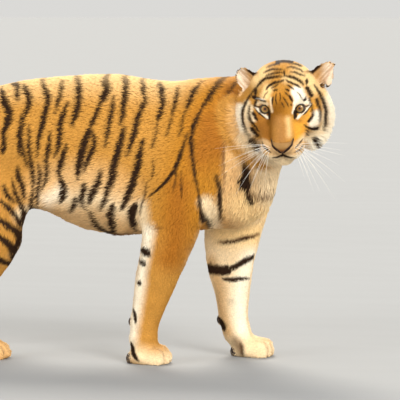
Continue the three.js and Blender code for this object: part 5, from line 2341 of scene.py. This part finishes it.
@dataclass(frozen=True)
class Finish:
    """A surface whose colour is painted on its vertices, broken up by fine grain."""

    name: str
    layer: str
    roughness: float
    grain: float = 300.0
    contrast: float = 0.1
    relief: float = 0.3
    sheen: float = 0.0
    gloss: float = 0.0
    specular: float = 0.5
    gloss_roughness: float = 0.03

    def source(self, material: bpy.types.Material) -> bpy.types.NodeSocket:
        """Returns the socket that gives the base colour.

        Args:
            material: The material.

        Returns:
            The socket.
        """
        colour = node(material.node_tree.nodes, "Attribute")
        colour.attribute_name = self.layer
        return colour.outputs["Color"]

    def material(self) -> bpy.types.Material:
        """Makes the finish's material, or finds it once it is made.

        Returns:
            The material.
        """
        name = f"tiger_{self.name}"
        found = bpy.data.materials.get(name)
        if found:
            return found
        made = bpy.data.materials.new(name)
        made.use_nodes = True
        nodes, links = made.node_tree.nodes, made.node_tree.links
        surface = nodes["Principled BSDF"]
        for socket, value in (
            ("Roughness", self.roughness),
            ("Sheen Weight", self.sheen),
            ("Coat Weight", self.gloss),
            ("Coat Roughness", self.gloss_roughness),
            ("Specular IOR Level", self.specular),
        ):
            surface.inputs[socket].default_value = value
        grain = node(nodes, "Group")
        grain.node_tree = hair_grain()
        for socket, value in (("Scale", self.grain), ("Strength", self.contrast), ("Relief", self.relief)):
            grain.inputs[socket].default_value = value
        shade = node(nodes, "VectorMath", "SCALE")
        links.new(self.source(made), shade.inputs[0])
        links.new(grain.outputs["Shade"], shade.inputs["Scale"])
        links.new(shade.outputs["Vector"], surface.inputs["Base Color"])
        if self.relief > 0:
            links.new(grain.outputs["Normal"], surface.inputs["Normal"])
        return made


@dataclass(frozen=True)
class PlainFinish(Finish):
    """A finish of one base colour, varied by the grain."""

    colour: Triple = (0.5, 0.5, 0.5)

    def source(self, material: bpy.types.Material) -> bpy.types.NodeSocket:
        """Returns the socket that gives the base colour.

        Args:
            material: The material.

        Returns:
            The socket.
        """
        colour = node(material.node_tree.nodes, "RGB")
        colour.outputs[0].default_value = (*self.colour, 1.0)
        return colour.outputs[0]


FUR = Finish("fur", COAT_LAYER, 0.66, 420, 0.12, 0.0, 0.0, 0.0, 0.14)
HIDE = Finish("hide", COAT_LAYER, 0.8, 420, 0.16, 0.6, 0.0, 0.0, 0.1)
EYE = Finish("eye", "eye_colour", 0.08, 900, 0.03, 0.0, 0.0, 0.3, 0.4)
LEATHER = Finish("nose_leather", "nose_colour", 0.5, 1400, 0.12, 0.6, 0.0, 0.0, 0.25)
RIM = PlainFinish("lid_rim", "", 0.4, 900, 0.3, 0.4, colour=linear(34, 24, 20))
PAD = PlainFinish("pad", "", 0.75, 700, 0.25, 0.6, colour=linear(48, 36, 33))
WHISKER = PlainFinish("whisker", "", 0.35, 200, 0.06, 0.0, colour=linear(246, 240, 228))


# ---- The studio ----


@dataclass(frozen=True)
class Sun:
    """A soft distant lamp: where it stands as seen from the animal, its strength and colour."""

    name: str
    towards: Triple
    strength: float
    colour: Triple = (1.0, 1.0, 1.0)
    spread: float = 24.0
    glints: bool = True


@dataclass(frozen=True)
class Studio:
    """The floor, the lamps and the camera, placed in the trunk's frame."""

    camera_at: Triple = (2024.6, -8769.3, 1250.0)
    looks_at: Triple = (0.0, 0.0, 555.0)
    lens: float = 235.0
    sensor: float = 36.0
    floor_reach: float = 160000.0
    air: Triple = (0.98, 0.97, 0.94)
    air_strength: float = 0.72
    lamps: tuple[Sun, ...] = (
        Sun("key", (3.4, -3.6, 3.0), 2.2, (1.0, 0.97, 0.92)),
        Sun("low", (1.8, -4.6, 0.9), 1.2, (1.0, 0.96, 0.9), glints=False),
        Sun("fill", (-3.8, -3.6, 1.5), 1.2, (1.0, 0.98, 0.95), glints=False),
        Sun("sun_behind", (-0.9, 2.3, 2.7), 2.9, (1.0, 0.93, 0.82)),
    )

    def floor(self) -> None:
        """Makes a wide plain floor."""
        corners = np.array([(-1, -1, 0), (1, -1, 0), (1, 1, 0), (-1, 1, 0)]) * self.floor_reach
        sheet = new_object("studio_floor", corners, np.array([[0, 1, 2, 3]]))
        finish = PlainFinish("studio_paper", "", 0.9, 6, 0.015, 0.0, colour=linear(153, 155, 157))
        sheet.data.materials.append(finish.material())

    def light(self) -> None:
        """Sets the lamps and the pale surroundings."""
        for lamp in self.lamps:
            data = bpy.data.lights.new(lamp.name, "SUN")
            data.angle = math.radians(lamp.spread)
            data.energy = lamp.strength
            data.color = lamp.colour
            thing = placed(lamp.name, data)
            thing.rotation_euler = Vector(lamp.towards).to_track_quat("Z", "Y").to_euler()
            thing.visible_glossy = lamp.glints
        world = bpy.data.worlds.new("studio_air")
        world.use_nodes = True
        background = world.node_tree.nodes["Background"]
        background.inputs["Color"].default_value = (*self.air, 1.0)
        background.inputs["Strength"].default_value = self.air_strength
        bpy.context.scene.world = world

    def camera(self) -> None:
        """Sets the camera on a long lens, a little in front of the animal's right side."""
        data = bpy.data.cameras.new("camera")
        data.lens = self.lens
        data.sensor_width = self.sensor
        thing = placed("camera", data)
        thing.location = Vector(to_model(np.array(self.camera_at)))
        target = Vector(to_model(np.array(self.looks_at)))
        thing.rotation_euler = (target - thing.location).to_track_quat("-Z", "Y").to_euler()
        bpy.context.scene.camera = thing

    def build(self) -> None:
        """Sets the whole studio."""
        self.floor()
        self.light()
        self.camera()
        bpy.context.scene.view_settings.view_transform = "Standard"


def main() -> None:
    """Builds the tiger: skin, coat, eyes, nose, whiskers, pads, then the studio."""
    logging.basicConfig(level=logging.INFO, format="%(relativeCreated)7.0f %(name)s: %(message)s")
    skin = Skin()
    hide, net = skin.build()
    paint(hide, COAT_LAYER, MARKINGS.colours(net.points, net.normals()))
    settle(hide, skin.flesh_nodes(), HIDE)
    Coat().build(net, FUR)
    EyePair().build(EYE, RIM)
    Nose().build(LEATHER)
    Whiskers().build(WHISKER)
    Pads().build(PAD)
    Studio().build()


if __name__ == "__main__":
    main()
